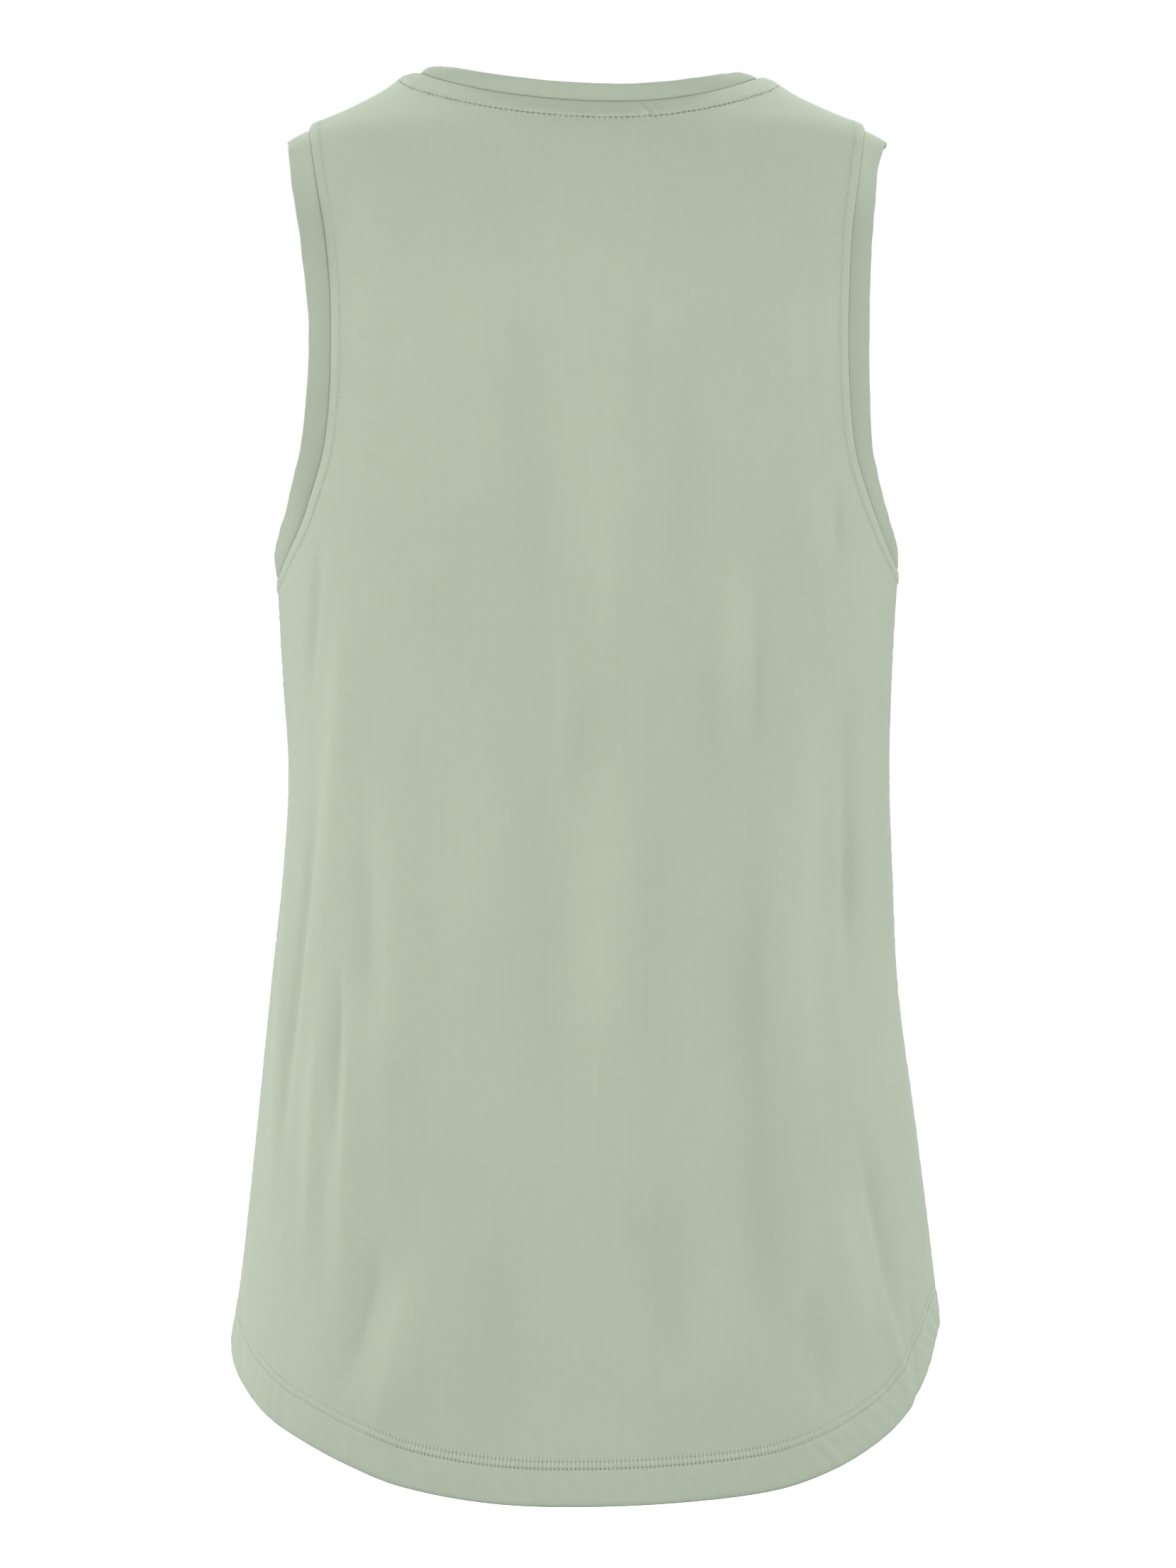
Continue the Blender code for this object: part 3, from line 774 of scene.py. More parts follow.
def smoothRing(values, spread):
    # Softens a closed run of vectors over a few neighbours on each side
    weights = {shift: math.exp(-((shift / spread) ** 2)) for shift in range(-3 * spread, 3 * spread + 1)}
    total = sum(np.roll(values, shift, axis=0) * weight for shift, weight in weights.items())
    return total / sum(weights.values())


def makeRing(name):
    # The back panel's edge and then the front panel's turned round, so the panel is on the left
    parts = []
    for panel in ("back", "front"):
        turn, height = panelEdges(panel, bandSettings["step"])[name]
        if panel == "front":
            turn, height = turn[-2:0:-1], height[-2:0:-1]
        point = clothPoint(panel, turn, height, False)
        isBack = np.full(len(turn), panel == "back")
        parts.append((point, clothNormal(panel, turn, height), turn, height, isBack))
    keys = ("point", "normal", "turn", "height", "isBack")
    ring = {key: np.concatenate(values) for key, values in zip(keys, zip(*parts))}
    ring["normal"] = unit(smoothRing(ring["normal"], 3))
    ring["point"][:, 1] *= np.where(np.abs(ring["point"][:, 1]) < 0.2, 0, 1)
    along = np.roll(ring["point"], -1, axis=0) - np.roll(ring["point"], 1, axis=0)
    away = smoothRing(unit(np.cross(along, ring["normal"])), 6)
    away -= ring["normal"] * (away * ring["normal"]).sum(1)[:, None]
    ring["away"] = unit(away)
    steps = np.linalg.norm(np.roll(ring["point"], -1, axis=0) - ring["point"], axis=1)
    ring["run"] = np.concatenate([[0], np.cumsum(steps)[:-1]])
    ring["length"] = steps.sum()
    return ring


def bandSection(width, thick, puff):
    # Corners of the folded band: outer face from the seam to the fold, then back inside
    tuck = bandSettings["tuck"]
    out = [(0.05, -tuck - 0.55), (0.1, -tuck - 0.15), (0.45, -tuck * 0.55), (1.1, 0.0), (2.4, puff)]
    out += [(width * 0.45, puff * 1.15), (width * 0.7, puff), (width - 1.6, puff * 0.4)]
    middle = -thick / 2
    for degrees in (70, 45, 20, -5, -30, -55, -80):
        angle = math.radians(degrees)
        across = width - thick / 2 + thick / 2 * math.cos(angle)
        out.append((across, middle + thick / 2 * math.sin(angle)))
    out += [(width - 1.8, -thick - 0.03), (width * 0.6, -thick - 0.1), (width * 0.3, -thick)]
    return out + [(0.8, -thick), (0.1, -thick + 0.3)]


def loftRows(pieceName, rows, knit, materials, ring=True):
    # Rows of points along a seam, joined into a tube that is a ring or has closed ends
    rowCount, count = rows.shape[:2]
    index = np.arange(rowCount * count).reshape(rowCount, count)
    beside = np.roll(index, -1, axis=0)
    quads = [index, np.roll(index, -1, axis=1), np.roll(beside, -1, axis=1), beside]
    quads = np.stack(quads, axis=-1)
    if not ring:
        quads = quads[:, :-1]
    faces = quads.reshape(-1, 4).tolist()
    if not ring:
        faces += [index[:, 0].tolist(), index[::-1, -1].tolist()]
    uvMaps = {"knit": knit.reshape(-1, 2)}
    return makeMesh(pieceName, rows.reshape(-1, 3), faces, materials, uvMaps=uvMaps)


def makeBand(pieceName, ring, kind, leans, seed, materials):
    s = {**bandSettings, **bandSettings[kind]}
    lean = np.radians(leans)
    away = ring["away"] * np.cos(lean)[:, None] + ring["normal"] * np.sin(lean)[:, None]
    out = ring["normal"] * np.cos(lean)[:, None] - ring["away"] * np.sin(lean)[:, None]
    y = ring["point"][:, 1]
    atShoulder = ring["height"] > s["shoulderFrom"]
    widened = 1 + s["widen"] * bump(y, s["dropReach"]) * atShoulder
    # It hangs a little below the thick ends of the shoulder seams
    drop = s["drop"] * bump(y, s["dropReach"]) * atShoulder
    # It rounds outwards where it turns over the shoulders
    curl = np.where(ring["point"][:, 0] < 0, *s["curl"]) * 4
    rows = []
    knit = []
    for reach, rise in bandSection(s["width"], s["thick"], s["puff"]):
        share = reach / s["width"]
        wave = s["ripple"] * waver(ring["run"] + 0.7 * reach, seed, s["rippleLength"]) * share
        wave = wave + 0.05 * waver(ring["run"], seed + 1, 4) * bump(reach, 2.5)
        wave = wave + curl * share * (1 - share) * bump(np.abs(y) - s["curlAt"], s["curlReach"])
        wave = wave - drop
        if -1 < rise < 0:
            rise = rise * (1 - s["flatten"] * bump(y, s["flattenReach"]) * atShoulder)
        reach = reach * widened - 0.3 * drop * (1 - share) ** 2
        # Its foot stays beside the panel's edge, however the band leans
        foot = rise * np.sin(lean) * (1 - share) ** 2
        edge = 0.12 * waver(ring["run"], seed + 2, 31) * share
        rows.append(ring["point"] + away * (reach + foot + edge)[:, None] + out * (rise + wave)[:, None])
        knit.append(np.stack([ring["run"], reach - rise], axis=1))
    return loftRows(pieceName, np.array(rows)[::-1], np.array(knit)[::-1], materials)


# Turned-in edges of the cloth, sewn flat inside: distance into the panel and depth below its face
allowanceSettings = {
    "step": 2.4,
    "band": [(-0.3, -1.8), (0.2, -1.0), (2.0, -0.87), (4.2, -0.87), (6.2, -0.87),
             (6.6, -1.4), (6.2, -2.0), (3.2, -2.1), (0.6, -2.3), (-0.3, -2.25)],
    "side": [(-0.5, -1.0), (0.2, -0.95), (2.0, -0.87), (4.2, -0.87), (6.0, -0.87),
             (6.3, -1.2), (6.0, -1.6), (3.2, -1.65), (0.6, -1.6), (-0.5, -1.5)],
}


def edgeLine(panel, seams, name, step, distance, start=0.0):
    # Places at even steps along a seam, moved into the panel
    turn, height = panelEdges(panel, panelSettings["edgeStep"])[name]
    stepTurn, stepHeight = inwardsStep(panel, name, turn, height)
    run = seams[name].run
    even = np.arange(start, run[-1], step)
    turn = np.interp(even, run, turn + stepTurn * distance)
    return turn, np.interp(even, run, height + stepHeight * distance)


def allowanceRows(parts, name, section, step, start=0.0):
    # parts are a panel and its seams each, in the order in which the strip runs
    rows = []
    knit = []
    for distance, depth in section:
        points = []
        for panel, seams in parts:
            place = edgeLine(panel, seams, name, step, distance, start)
            outer, normal, _ = dressedPoint(panel, seams, *place)
            points.append((outer + normal * depth)[::1 if panel == "back" else -1])
        points = np.concatenate(points)
        rows.append(points)
        along = np.arange(len(points)) * step
        knit.append(np.stack([along, np.full(len(points), distance - depth)], axis=1))
    return np.array(rows), np.array(knit)


def joinPieces(main, others):
    with bpy.context.temp_override(active_object=main, selected_editable_objects=[main, *others]):
        bpy.ops.object.join()


# Shader groups
def newGroup(name, inputs, outputs):
    group = bpy.data.node_groups.new(name, "ShaderNodeTree")
    for socketName, value in inputs.items():
        kind = "NodeSocketVector" if value is None else "NodeSocketFloat"
        socket = group.interface.new_socket(name=socketName, in_out="INPUT", socket_type=kind)
        if value is not None:
            socket.default_value = value
    for socketName in outputs:
        group.interface.new_socket(name=socketName, in_out="OUTPUT", socket_type="NodeSocketFloat")
    return group, group.nodes.new("NodeGroupInput").outputs, group.nodes.new("NodeGroupOutput")


def feed(tree, node, values):
    # Sets each of the node's sockets, named or numbered, to a value, or links what it is given
    for key, value in values.items():
        if isinstance(value, bpy.types.NodeSocket):
            tree.links.new(value, node.inputs[key])
        else:
            node.inputs[key].default_value = value


def addNode(tree, kind, values=None, **settings):
    node = tree.nodes.new(kind)
    for key, value in settings.items():
        setattr(node, key, value)
    feed(tree, node, values or {})
    return node


def mathNode(tree, operation, *values):
    return addNode(tree, "ShaderNodeMath", dict(enumerate(values)), operation=operation).outputs[0]


def times(tree, first, second):
    return mathNode(tree, "MULTIPLY", first, second)


def addScaled(tree, value, factor, base):
    return mathNode(tree, "MULTIPLY_ADD", value, factor, base)


def rangeNode(tree, value, low, high, start=0.0, end=1.0):
    values = dict(enumerate((value, low, high, start, end)))
    return addNode(tree, "ShaderNodeMapRange", values, interpolation_type="SMOOTHSTEP").outputs[0]


def noiseNode(tree, place, scale, detail):
    values = {"Vector": place, "Scale": scale, "Detail": detail}
    return addNode(tree, "ShaderNodeTexNoise", values).outputs["Fac"]


def splitNode(tree, vector):
    return addNode(tree, "ShaderNodeSeparateXYZ", {0: vector}).outputs


def makeKnitWeave():
    # V-shaped stitches in upright wales; Purl above zero shows the rounded rows of the reverse
    inputs = {"Place": None, "Wale Width": 0.75, "Course Height": 0.6, "Purl": 0.0}
    group, given, result = newGroup("knitWeave", inputs, ("Height", "Groove"))
    across, up, _ = splitNode(group, given["Place"])
    wale = mathNode(group, "DIVIDE", across, given["Wale Width"])
    course = mathNode(group, "DIVIDE", up, given["Course Height"])
    fromMiddle = mathNode(group, "PINGPONG", wale, 0.5)
    alongLeg = mathNode(group, "PINGPONG", addScaled(group, fromMiddle, -1.1, course), 0.5)
    leg = addScaled(group, mathNode(group, "SINE", times(group, alongLeg, math.pi)), 0.6, 0.4)
    between = mathNode(group, "SINE", times(group, fromMiddle, 2 * math.pi))
    face = times(group, mathNode(group, "POWER", between, 0.6), leg)
    upCourse = mathNode(group, "PINGPONG", course, 0.5)
    rows = mathNode(group, "SINE", times(group, upCourse, math.pi))
    height = addNode(group, "ShaderNodeMix", {0: given["Purl"], 2: face, 3: rows}).outputs[0]
    feed(group, result, {"Height": height, "Groove": rangeNode(group, height, 0.0, 0.55, 1.0, 0.0)})
    return group


def makeClothVariation():
    # Slow unevenness of the dye and the knit, finer streaks along the wales, and loose fibres
    inputs = {"Place": None, "Knit Place": None, "Patch Size": 60.0, "Streak Width": 2.2}
    group, given, result = newGroup("clothVariation", inputs, ("Shade", "Streaks", "Fuzz"))
    layers = (
        ("Shade", "Place", (1000, 1000, 1000), "Patch Size", 4.0),
        ("Streaks", "Knit Place", (1, 0.035, 1), "Streak Width", 2.0),
        ("Fuzz", "Knit Place", (1, 1, 1), None, 3.0),
    )
    for label, place, stretch, size, detail in layers:
        stretched = {0: given[place], 1: stretch}
        stretched = addNode(group, "ShaderNodeVectorMath", stretched, operation="MULTIPLY").outputs[0]
        scale = mathNode(group, "DIVIDE", 1.0, given[size]) if size else 1.6
        feed(group, result, {label: noiseNode(group, stretched, scale, detail)})
    return group


def makeStitchMarks():
    # Needle holes in a row along a seam, with the cloth drawn into small creases beside each
    inputs = {"Seam Place": None, "Row Distance": 8.0, "Pitch": 2.1, "Hole Size": 0.42,
              "Crease Length": 2.4, "Groove Width": 0.65}
    group, given, result = newGroup("stitchMarks", inputs, ("Hole", "Crease", "Ridge", "Groove"))
    run, distance, _ = splitNode(group, given["Seam Place"])
    across = mathNode(group, "ABSOLUTE", mathNode(group, "SUBTRACT", distance, given["Row Distance"]))
    halfPitch = times(group, given["Pitch"], 0.5)
    along = mathNode(group, "PINGPONG", run, halfPitch)
    gap = mathNode(group, "SQRT", addScaled(group, along, along, times(group, across, across)))
    near = rangeNode(group, across, 0.1, given["Crease Length"], 1.0, 0.0)
    crease = rangeNode(group, mathNode(group, "DIVIDE", along, halfPitch), 0.0, 0.75, 1.0, 0.0)
    groove = rangeNode(group, across, 0.0, given["Groove Width"], 1.0, 0.0)
    # The groove is deeper in some places than in others
    deep = rangeNode(group, noiseNode(group, given["Seam Place"], 0.16, 3.0), 0.25, 0.7, 0.45, 1.35)
    feed(group, result, {
        "Hole": rangeNode(group, gap, 0.0, given["Hole Size"], 1.0, 0.0),
        "Crease": times(group, crease, near),
        "Ridge": times(group, mathNode(group, "SUBTRACT", 1.0, crease), near),
        "Groove": times(group, groove, deep),
    })
    return group


knitWeave = makeKnitWeave()
clothVariation = makeClothVariation()
stitchMarks = makeStitchMarks()


def groupNode(tree, group, values):
    return addNode(tree, "ShaderNodeGroup", values, node_tree=group)


def uvNode(tree, name):
    return addNode(tree, "ShaderNodeUVMap", uv_map=name).outputs[0]


clothSettings = {
    "face": (0.441, 0.507, 0.400, 1),
    "reverse": (0.430, 0.494, 0.390, 1),
    # The bands are the same jersey, painted a little darker as shade
    "band": (0.421, 0.484, 0.382, 1),
    "thread": (0.462, 0.530, 0.420, 1),
    "roughness": 0.86,
    "sheen": 0.22,
    "knitDepth": 0.05,
    "fuzzDepth": 0.05,
    "patchShade": 0.07,
    "streakShade": 0.05,
    "knitGroovePaintedShade": -0.06,
    "paintedFoldShading": 0.013,
    "bandPaintedShade": 0.07,
    "bandPaintedShadeReach": 9.0,
    "bandPaintedShadeHeights": (-85, -38),
    "hemPullReach": (85, 125),
}

# Rows of stitches that mark the panels: the map that follows the seam, the row and its pitch, the
# marks' sizes, and how much painted shade each mark puts in its holes, creases and groove, or painted
# highlight on its ridges; a dark below zero paints the holes lighter, as highlight
StitchRow = namedtuple("StitchRow", "map row pitch hole crease dark line fold ridge")
stitchRows = [
    StitchRow("neckSeam", 11.0, 2.6, 0.42, 2.4, 0.16, 0.36, 0.2, 0.05),
    StitchRow("armSeam", 6.2, 2.4, 0.34, 1.8, -0.06, 0.03, 0.1, 0),
    StitchRow("hemSeam", 18.4, 2.1, 0.6, 1.6, 0.3, 0.14, 0.26, 0.02),
    StitchRow("hemSeam", 21.8, 2.1, 0.5, 3.4, 0.06, 0.06, 0.3, 0.1),
]


def newMaterial(name, values):
    material = bpy.data.materials.new(name)
    material.use_nodes = True
    tree = material.node_tree
    shader = tree.nodes["Principled BSDF"]
    feed(tree, shader, values)
    return material, tree, shader


def finishCloth(tree, shader, colour, light, rough, height, strength, distance):
    # Joins a colour made lighter or darker, a roughness and a relief to the shader
    tint = {0: colour[:3], "Scale": light}
    tint = addNode(tree, "ShaderNodeVectorMath", tint, operation="SCALE").outputs[0]
    relief = {"Strength": strength, "Distance": distance, "Height": height}
    relief = addNode(tree, "ShaderNodeBump", relief).outputs[0]
    feed(tree, shader, {"Base Color": tint, "Roughness": rough, "Normal": relief})


def makeCloth(name, colour, purl, rows, shade=0.0):
    s = clothSettings
    material, tree, shader = newMaterial(name, {
        "Sheen Weight": s["sheen"],
        "Sheen Roughness": 0.45,
        "Sheen Tint": (0.92, 1.0, 0.88, 1),
        "Specular IOR Level": 0.25,
    })
    place = addNode(tree, "ShaderNodeTexCoord").outputs["Object"]
    knit = uvNode(tree, "knit")
    weave = groupNode(tree, knitWeave, {"Place": knit, "Purl": purl}).outputs
    variation = groupNode(tree, clothVariation, {"Place": place, "Knit Place": knit}).outputs
    # Lightness of the cloth, put together from its random unevenness, painted shade in its knit grooves,
    # painted shade and light along its folds, and painted shade and highlight at its stitch marks
    rise = addNode(tree, "ShaderNodeAttribute", attribute_name="foldRise").outputs["Fac"]
    light = addScaled(tree, variation["Shade"], s["patchShade"], 0.94)
    light = addScaled(tree, variation["Streaks"], s["streakShade"], light)
    # Painted shade in the knit's grooves
    light = addScaled(tree, weave["Groove"], s["knitGroovePaintedShade"], light)
    # Painted shade in the folds' troughs and painted light on their crests, from the foldRise attribute
    light = addScaled(tree, rise, s["paintedFoldShading"], light)
    x, _, z = splitNode(tree, place)
    if shade:
        # A band gets painted shade, deepest beside its seam, which turns to painted light at the
        # shoulder
        fromSeam = splitNode(tree, knit)[1]
        beside = rangeNode(tree, fromSeam, 0.0, s["bandPaintedShadeReach"], -shade, -0.4 * shade)
        low, high = s["bandPaintedShadeHeights"]
        light = addScaled(tree, beside, rangeNode(tree, z, low * mm, high * mm, 1.0, -1.9), light)
    height = times(tree, weave["Height"], s["knitDepth"])
    height = addScaled(tree, variation["Fuzz"], s["fuzzDepth"], height)
    for row in rows:
        hole, crease, ridge, groove = groupNode(tree, stitchMarks, {
            "Seam Place": uvNode(tree, row.map),
            "Row Distance": row.row,
            "Pitch": row.pitch,
            "Hole Size": row.hole,
            "Crease Length": row.crease,
        }).outputs
        if row.map == "hemSeam":
            # The hem's stitch marks, their bumps and their painted shade and highlight, are strongest
            # across the middle, where its stitches pull hardest
            start, end = s["hemPullReach"]
            fromMiddle = mathNode(tree, "ABSOLUTE", x)
            pull = rangeNode(tree, fromMiddle, start * mm, end * mm, 1.0, 0.05)
            hole, crease, ridge = (times(tree, mark, pull) for mark in (hole, crease, ridge))
        # Painted shade in the holes, creases and groove, and painted highlight on the ridges
        light = addScaled(tree, hole, -row.dark, light)
        light = addScaled(tree, crease, -0.4 * row.fold, light)
        light = addScaled(tree, ridge, row.ridge, light)
        light = addScaled(tree, groove, -row.line, light)
        height = addScaled(tree, hole, -0.25, height)
        height = addScaled(tree, crease, -row.fold, height)
    light = mathNode(tree, "MAXIMUM", light, 0.2)
    rough = addScaled(tree, variation["Streaks"], 0.08, s["roughness"] - 0.04)
    finishCloth(tree, shader, colour, light, rough, height, 0.8, mm)
    material.diffuse_color = colour
    return material


def makeThread(name, colour):
    # Twisted thread: fine slanting plies, also painted lighter and darker as their shade, and a little
    # unevenness of colour
    values = {"Sheen Weight": 0.3, "Specular IOR Level": 0.35}
    material, tree, shader = newMaterial(name, values)
    place = addNode(tree, "ShaderNodeTexCoord").outputs["Object"]
    place = {0: place, "Scale": 1 / mm}
    place = addNode(tree, "ShaderNodeVectorMath", place, operation="SCALE").outputs[0]
    plies = {"Vector": place, "Scale": 1.1, "Distortion": 1.5}
    plies = addNode(tree, "ShaderNodeTexWave", plies, bands_direction="DIAGONAL").outputs["Fac"]
    uneven = noiseNode(tree, place, 0.35, 2.0)
    light = addScaled(tree, uneven, 0.14, addScaled(tree, plies, 0.12, 0.86))
    finishCloth(tree, shader, colour, light, addScaled(tree, uneven, 0.1, 0.6), plies, 0.5, 0.05 * mm)
    material.diffuse_color = colour
    return material


jersey = makeCloth("jersey", clothSettings["face"], 0.0, stitchRows)
jerseyReverse = makeCloth("jerseyReverse", clothSettings["reverse"], 1.0, [])
paintedShadeBandCloth = makeCloth("bandJerseyPaintedShade", clothSettings["band"], 0.0, [])
bandPaintedShade = clothSettings["bandPaintedShade"]
armBandPaintedShadeCloth = makeCloth("armBandJerseyPaintedShade", clothSettings["band"], 0.0, [], bandPaintedShade)
thread = makeThread("thread", clothSettings["thread"])
print("materials made")

backPanel, backSeams = makePanel("back", "backPanel", [jersey, jerseyReverse])
frontPanel, frontSeams = makePanel("front", "frontPanel", [jersey, jerseyReverse])
print("panels made:", len(backPanel.data.polygons), len(frontPanel.data.polygons), "faces")

neckRing = makeRing("neck")
fromSide = np.degrees(np.minimum(neckRing["turn"], math.pi - neckRing["turn"]))
leans = np.where(neckRing["isBack"], neckLean["back"](fromSide), neckLean["front"](fromSide))
neckBand = makeBand("neckBand", neckRing, "neck", leans, 110, [paintedShadeBandCloth])
armBands = []
for right, name in enumerate(("Left", "Right")):
    armRing = makeRing("armhole" + name)
    low, tip = garment["underarm"][right], garment["shoulderTip"][right]
    leans = armLean[name.lower()]((armRing["height"] - low) / (tip - low))
    seed = 130 + 10 * right
    armBands.append(makeBand("armBand" + name, armRing, "arm", leans, seed, [armBandPaintedShadeCloth]))
    print("armband", name, round(armRing["length"]), "mm round")

# Turned-in edges, joined to the piece that each is cut in one with
parts = [("back", backSeams), ("front", frontSeams)]
allowanceStep = allowanceSettings["step"]
bandSeams = ("neck", "armholeLeft", "armholeRight")
for name, band in zip(bandSeams, (neckBand, *armBands)):
    section = allowanceSettings["band"]
    if name == "neck":
        # The tape inside the neck reaches past the row of stitches
        section = [(reach * 1.9 if reach > 1 else reach, depth) for reach, depth in section]
    rows, knit = allowanceRows(parts, name, section, allowanceStep)
    joinPieces(band, [loftRows(name + "Allowance", rows, knit, [paintedShadeBandCloth])])
strips = []
plainSeams = ("sideLeft", "sideRight", "shoulderLeft", "shoulderRight")
for name in plainSeams:
    rows, knit = allowanceRows(parts[:1], name, allowanceSettings["side"], allowanceStep, 1.5)
    strips.append(loftRows(name + "Allowance", rows, knit, [jerseyReverse], ring=False))
joinPieces(backPanel, strips)
print("turned-in edges made")


# Length, thickness and rise of the threads, how deep their ends dip into the cloth, and the rest
Sewing = namedtuple("Sewing", "Length Thickness Rise Dip Unevenness Seed")
sewing = {
    "neckStitches": Sewing(2.35, 0.3, 0.12, 0.3, 0.06, 3),
    "armStitches": Sewing(2.15, 0.28, 0.1, 0.3, 0.06, 4),
    "hemStitches": Sewing(1.9, 0.3, 0.12, 0.3, 0.07, 5),
    "hemLoopers": Sewing(4.1, 0.26, 0.35, 0.1, 0.05, 6),
    "overlockThreads": Sewing(5.0, 0.26, 0.45, 0.15, 0.05, 7),
}


def makeStitchTree():
    # Sets a short arched thread on every point, lying along it and standing off the cloth
    tree = bpy.data.node_groups.new("threadStitches", "GeometryNodeTree")
    sockets = [("Stitches", "OUTPUT", "Geometry"), ("Points", "INPUT", "Geometry")]
    sockets += [(label, "INPUT", "Float") for label in Sewing._fields[:5]]
    sockets += [("Seed", "INPUT", "Int"), ("Thread", "INPUT", "Material")]
    for label, way, kind in sockets:
        tree.interface.new_socket(name=label, in_out=way, socket_type="NodeSocket" + kind)
    given = tree.nodes.new("NodeGroupInput").outputs

    def corner(x, z):
        return addNode(tree, "ShaderNodeCombineXYZ", {0: x, 2: z}).outputs[0]

    half = times(tree, given["Length"], 0.5 * mm)
    dip = times(tree, given["Dip"], -mm)
    top = times(tree, given["Rise"], 2 * mm)
    arc = addNode(tree, "GeometryNodeCurveQuadraticBezier", {
        "Resolution": 4,
        "Start": corner(times(tree, half, -1.0), dip),
        "Middle": corner(0.0, mathNode(tree, "SUBTRACT", top, dip)),
        "End": corner(half, dip),
    })
    radius = times(tree, given["Thickness"], 0.5 * mm)
    outline = addNode(tree, "GeometryNodeCurvePrimitiveCircle", {"Resolution": 5, "Radius": radius})
    strand = addNode(tree, "GeometryNodeCurveToMesh", {
        "Curve": arc.outputs["Curve"],
        "Profile Curve": outline.outputs["Curve"],
        "Fill Caps": True,
    })
    out, along = (
        addNode(tree, "GeometryNodeInputNamedAttribute", {"Name": name}, data_type="FLOAT_VECTOR")
        for name in ("out", "along")
    )
    axes = {"Primary Axis": out.outputs["Attribute"], "Secondary Axis": along.outputs["Attribute"]}
    axes = addNode(tree, "FunctionNodeAxesToRotation", axes, primary_axis="Z", secondary_axis="X")
    chance = addNode(tree, "FunctionNodeRandomValue", {"Seed": given["Seed"]}, data_type="FLOAT")
    low, high = (end for end in chance.inputs if end.name in ("Min", "Max") and end.enabled)
    tree.links.new(mathNode(tree, "SUBTRACT", 1.0, given["Unevenness"]), low)
    tree.links.new(mathNode(tree, "ADD", 1.0, given["Unevenness"]), high)
    made = addNode(tree, "GeometryNodeInstanceOnPoints", {
        "Points": given["Points"],
        "Instance": strand.outputs["Mesh"],
        "Rotation": axes.outputs[0],
        "Scale": next(socket for socket in chance.outputs if socket.enabled),
    })
    made = addNode(tree, "GeometryNodeRealizeInstances", {0: made.outputs[0]})
    made = addNode(tree, "GeometryNodeSetShadeSmooth", {"Geometry": made.outputs[0]})
    values = {"Geometry": made.outputs[0], "Material": given["Thread"]}
    made = addNode(tree, "GeometryNodeSetMaterial", values)
    addNode(tree, "NodeGroupOutput", {0: made.outputs[0]})
    return tree


stitchTree = makeStitchTree()


def growStitches(pieceName, runs):
    # Every run holds the threads' middles, their directions and the way out of the cloth
    points, along, out = (np.concatenate([run[part] for run in runs]) for part in range(3))
    mesh = bpy.data.meshes.new(pieceName + "Points")
    mesh.from_pydata((points * mm).tolist(), [], [])
    for label, vectors in (("along", along), ("out", out)):
        layer = mesh.attributes.new(label, "FLOAT_VECTOR", "POINT")
        layer.data.foreach_set("vector", unit(vectors).astype(np.float32).ravel())
    source = linkObject(pieceName + "Points", mesh)
    grow = source.modifiers.new("Stitches", "NODES")
    grow.node_group = stitchTree
    values = {**sewing[pieceName]._asdict(), "Thread": thread}
    for item in stitchTree.interface.items_tree:
        if item.item_type == "SOCKET" and item.name in values:
            grow[item.identifier] = values[item.name]
    shaped = source.evaluated_get(bpy.context.evaluated_depsgraph_get())
    obj = linkObject(pieceName, bpy.data.meshes.new_from_object(shaped))
    bpy.data.objects.remove(source)
    return obj


def rowStitches(panel, seams, name, distance, pitch):
    # Stitches from one needle hole to the next
    outer, normal, _ = dressedPoint(panel, seams, *edgeLine(panel, seams, name, pitch, distance))
    return (outer[1:] + outer[:-1]) / 2, outer[1:] - outer[:-1], normal[1:]


def crossThreads(panel, seams, name, row):
    # Slanting threads over a raw edge inside, leaning one way and the other in turn
    (outer, normal, _), (further, _, _) = (
        dressedPoint(panel, seams, *edgeLine(panel, seams, name, row.pitch, reach, 1.0))
        for reach in (row.distance, row.distance + 1.5)
    )
    along = unit(np.gradient(outer, axis=0))
    turns = np.where(np.arange(len(outer)) % 2, row.slant, -row.slant)[:, None]
    return outer + normal * row.depth, unit(further - outer) + along * turns, -normal


# Threads over the raw edges inside: how far from the seam, how close, how deep and how slanted
CrossRow = namedtuple("CrossRow", "distance pitch depth slant")
crossRows = {
    "hem": CrossRow(20.4, 1.05, -2.15, 0.5),
    "band": CrossRow(4.0, 1.9, -2.1, 0.35),
    "plain": CrossRow(4.0, 1.9, -1.68, 0.35),
}

stitching = {name: [] for name in sewing}
overlocked = stitching["overlockThreads"]
rowEdges = {
    "neckSeam": ("neckStitches", ["neck"]),
    "hemSeam": ("hemStitches", ["hem"]),
    "armSeam": ("armStitches", ["armholeLeft", "armholeRight"]),
}
for panel, seams in parts:
    for row in stitchRows:
        pieceName, names = rowEdges[row.map]
        for name in names:
            stitching[pieceName].append(rowStitches(panel, seams, name, row.row, row.pitch))
    stitching["hemLoopers"].append(crossThreads(panel, seams, "hem", crossRows["hem"]))
    overlocked += [crossThreads(panel, seams, name, crossRows["band"]) for name in bandSeams]
overlocked += [crossThreads("back", backSeams, name, crossRows["plain"]) for name in plainSeams]
threads = {name: growStitches(name, runs) for name, runs in stitching.items()}
for name, runs in stitching.items():
    print("sewn:", sum(len(run[0]) for run in runs), name)

# Stage, light and camera
stageSettings = {
    "floorHeight": -800.0,
    "radius": 9000.0,
    "corners": 96,
    "floorGlow": (0.95, 0.02),
    "roomGlow": (1.0, 0.13),
}


def cameraOnly(tree, glow):
    # A strength that is one thing to the camera and another to the light in the room
    seen, unseen = glow
    path = addNode(tree, "ShaderNodeLightPath")
    return addScaled(tree, path.outputs["Is Camera Ray"], seen - unseen, unseen)


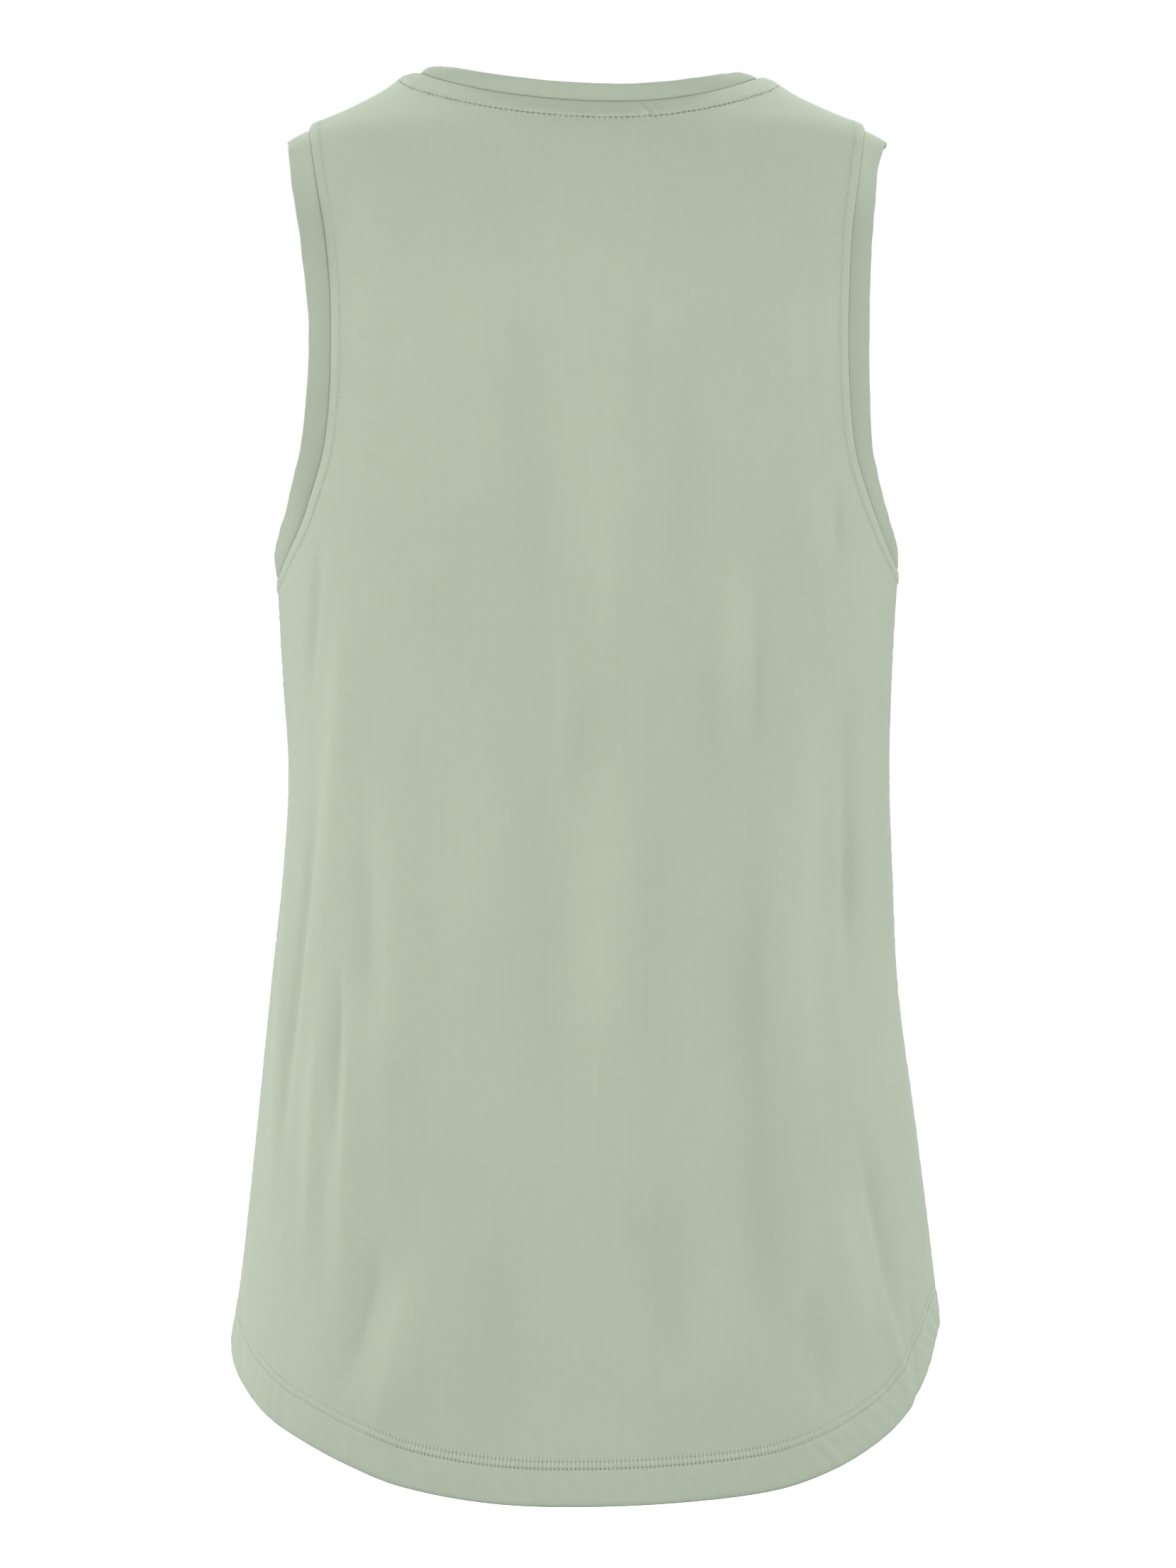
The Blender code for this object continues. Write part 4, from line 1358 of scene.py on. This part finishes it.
def makeStage():
    # A plain pale floor
    s = stageSettings
    corners = np.arange(s["corners"]) * 2 * math.pi / s["corners"]
    heights = np.full(len(corners), s["floorHeight"])
    points = np.stack([s["radius"] * np.cos(corners), s["radius"] * np.sin(corners), heights], axis=1)
    values = {"Base Color": (0.35, 0.35, 0.35, 1), "Roughness": 0.9, "Emission Color": (1, 1, 1, 1)}
    material, tree, shader = newMaterial("paleFloor", values)
    feed(tree, shader, {"Emission Strength": cameraOnly(tree, s["floorGlow"])})
    makeMesh("paleFloor", points, [list(range(s["corners"]))], [material])


# Plain white soft boxes, in metres and watts; each points at a place on the middle line
Light = namedtuple("Light", "name place aimHeight width height power")
lights = [
    Light("front", (-0.3, -2.8, 0.9), -0.35, 1.8, 1.0, 48),
    Light("midLeft", (-1.3, -1.4, -0.2), -0.35, 0.6, 0.5, 7.2),
    Light("midRight", (1.3, -1.4, -0.2), -0.35, 0.6, 0.5, 8.3),
    Light("sideLeft", (-2.3, 0.5, 0.1), -0.35, 0.8, 1.6, 18),
    Light("sideRight", (2.3, 0.5, 0.1), -0.35, 0.8, 1.6, 18),
    Light("rimLeft", (-1.3, 0.5, -0.4), -0.4, 0.4, 0.8, 5.6),
    Light("rimRight", (1.3, 0.5, -0.25), -0.3, 0.4, 0.6, 4.0),
    Light("overhead", (0, 0.9, 1.6), -0.2, 1.4, 0.8, 31),
    Light("behind", (0.4, 3.0, 0.4), -0.3, 1.8, 1.2, 30),
]


def addSoftbox(light):
    lamp = bpy.data.lights.new(light.name, "AREA")
    lamp.shape = "RECTANGLE"
    lamp.size = light.width
    lamp.size_y = light.height
    lamp.energy = light.power
    obj = linkObject(light.name, lamp)
    obj.location = light.place
    aim = Vector((0, 0, light.aimHeight)) - obj.location
    obj.rotation_euler = aim.to_track_quat("-Z", "Y").to_euler()


cameraSettings = {"distance": 3.4, "height": -0.3557, "shownHeight": 0.79632, "sensor": 24.0}


def makeCamera():
    s = cameraSettings
    camera = linkObject("camera", bpy.data.cameras.new("camera"))
    camera.location = (0, -s["distance"], s["height"])
    camera.rotation_euler = (math.radians(90), 0, 0)
    camera.data.sensor_fit = "VERTICAL"
    camera.data.sensor_height = s["sensor"]
    camera.data.lens = s["sensor"] * s["distance"] / s["shownHeight"]
    bpy.context.scene.camera = camera


makeStage()
for light in lights:
    addSoftbox(light)
makeCamera()
world = bpy.data.worlds.new("studio")
world.use_nodes = True
tree = world.node_tree
glow = {"Color": (1, 1, 1, 1), "Strength": cameraOnly(tree, stageSettings["roomGlow"])}
feed(tree, tree.nodes["Background"], glow)
bpy.context.scene.world = world
bpy.context.scene.view_settings.view_transform = "Standard"
print("stage, light and camera made")

# What each piece stands for, and the size and area of its cloth as it was cut
Sheet = namedtuple("Sheet", "piece node slot flat area")
sheets = [
    Sheet(backPanel, "back_panel", "jersey", (0.51, 0.74), 0.27),
    Sheet(frontPanel, "front_panel", "jersey", (0.51, 0.66), 0.249),
    Sheet(neckBand, "neckband", "binding", (0.0195, 0.60), 0.0116),
    Sheet(armBands[0], "armband_left", "binding", (0.0225, 0.56), 0.0125),
    Sheet(armBands[1], "armband_right", "binding", (0.0225, 0.56), 0.0125),
]
for sheet in sheets:
    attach(sheet.piece, "root")
    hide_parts(sheet.node)
for name, piece in threads.items():
    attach(piece, "root")
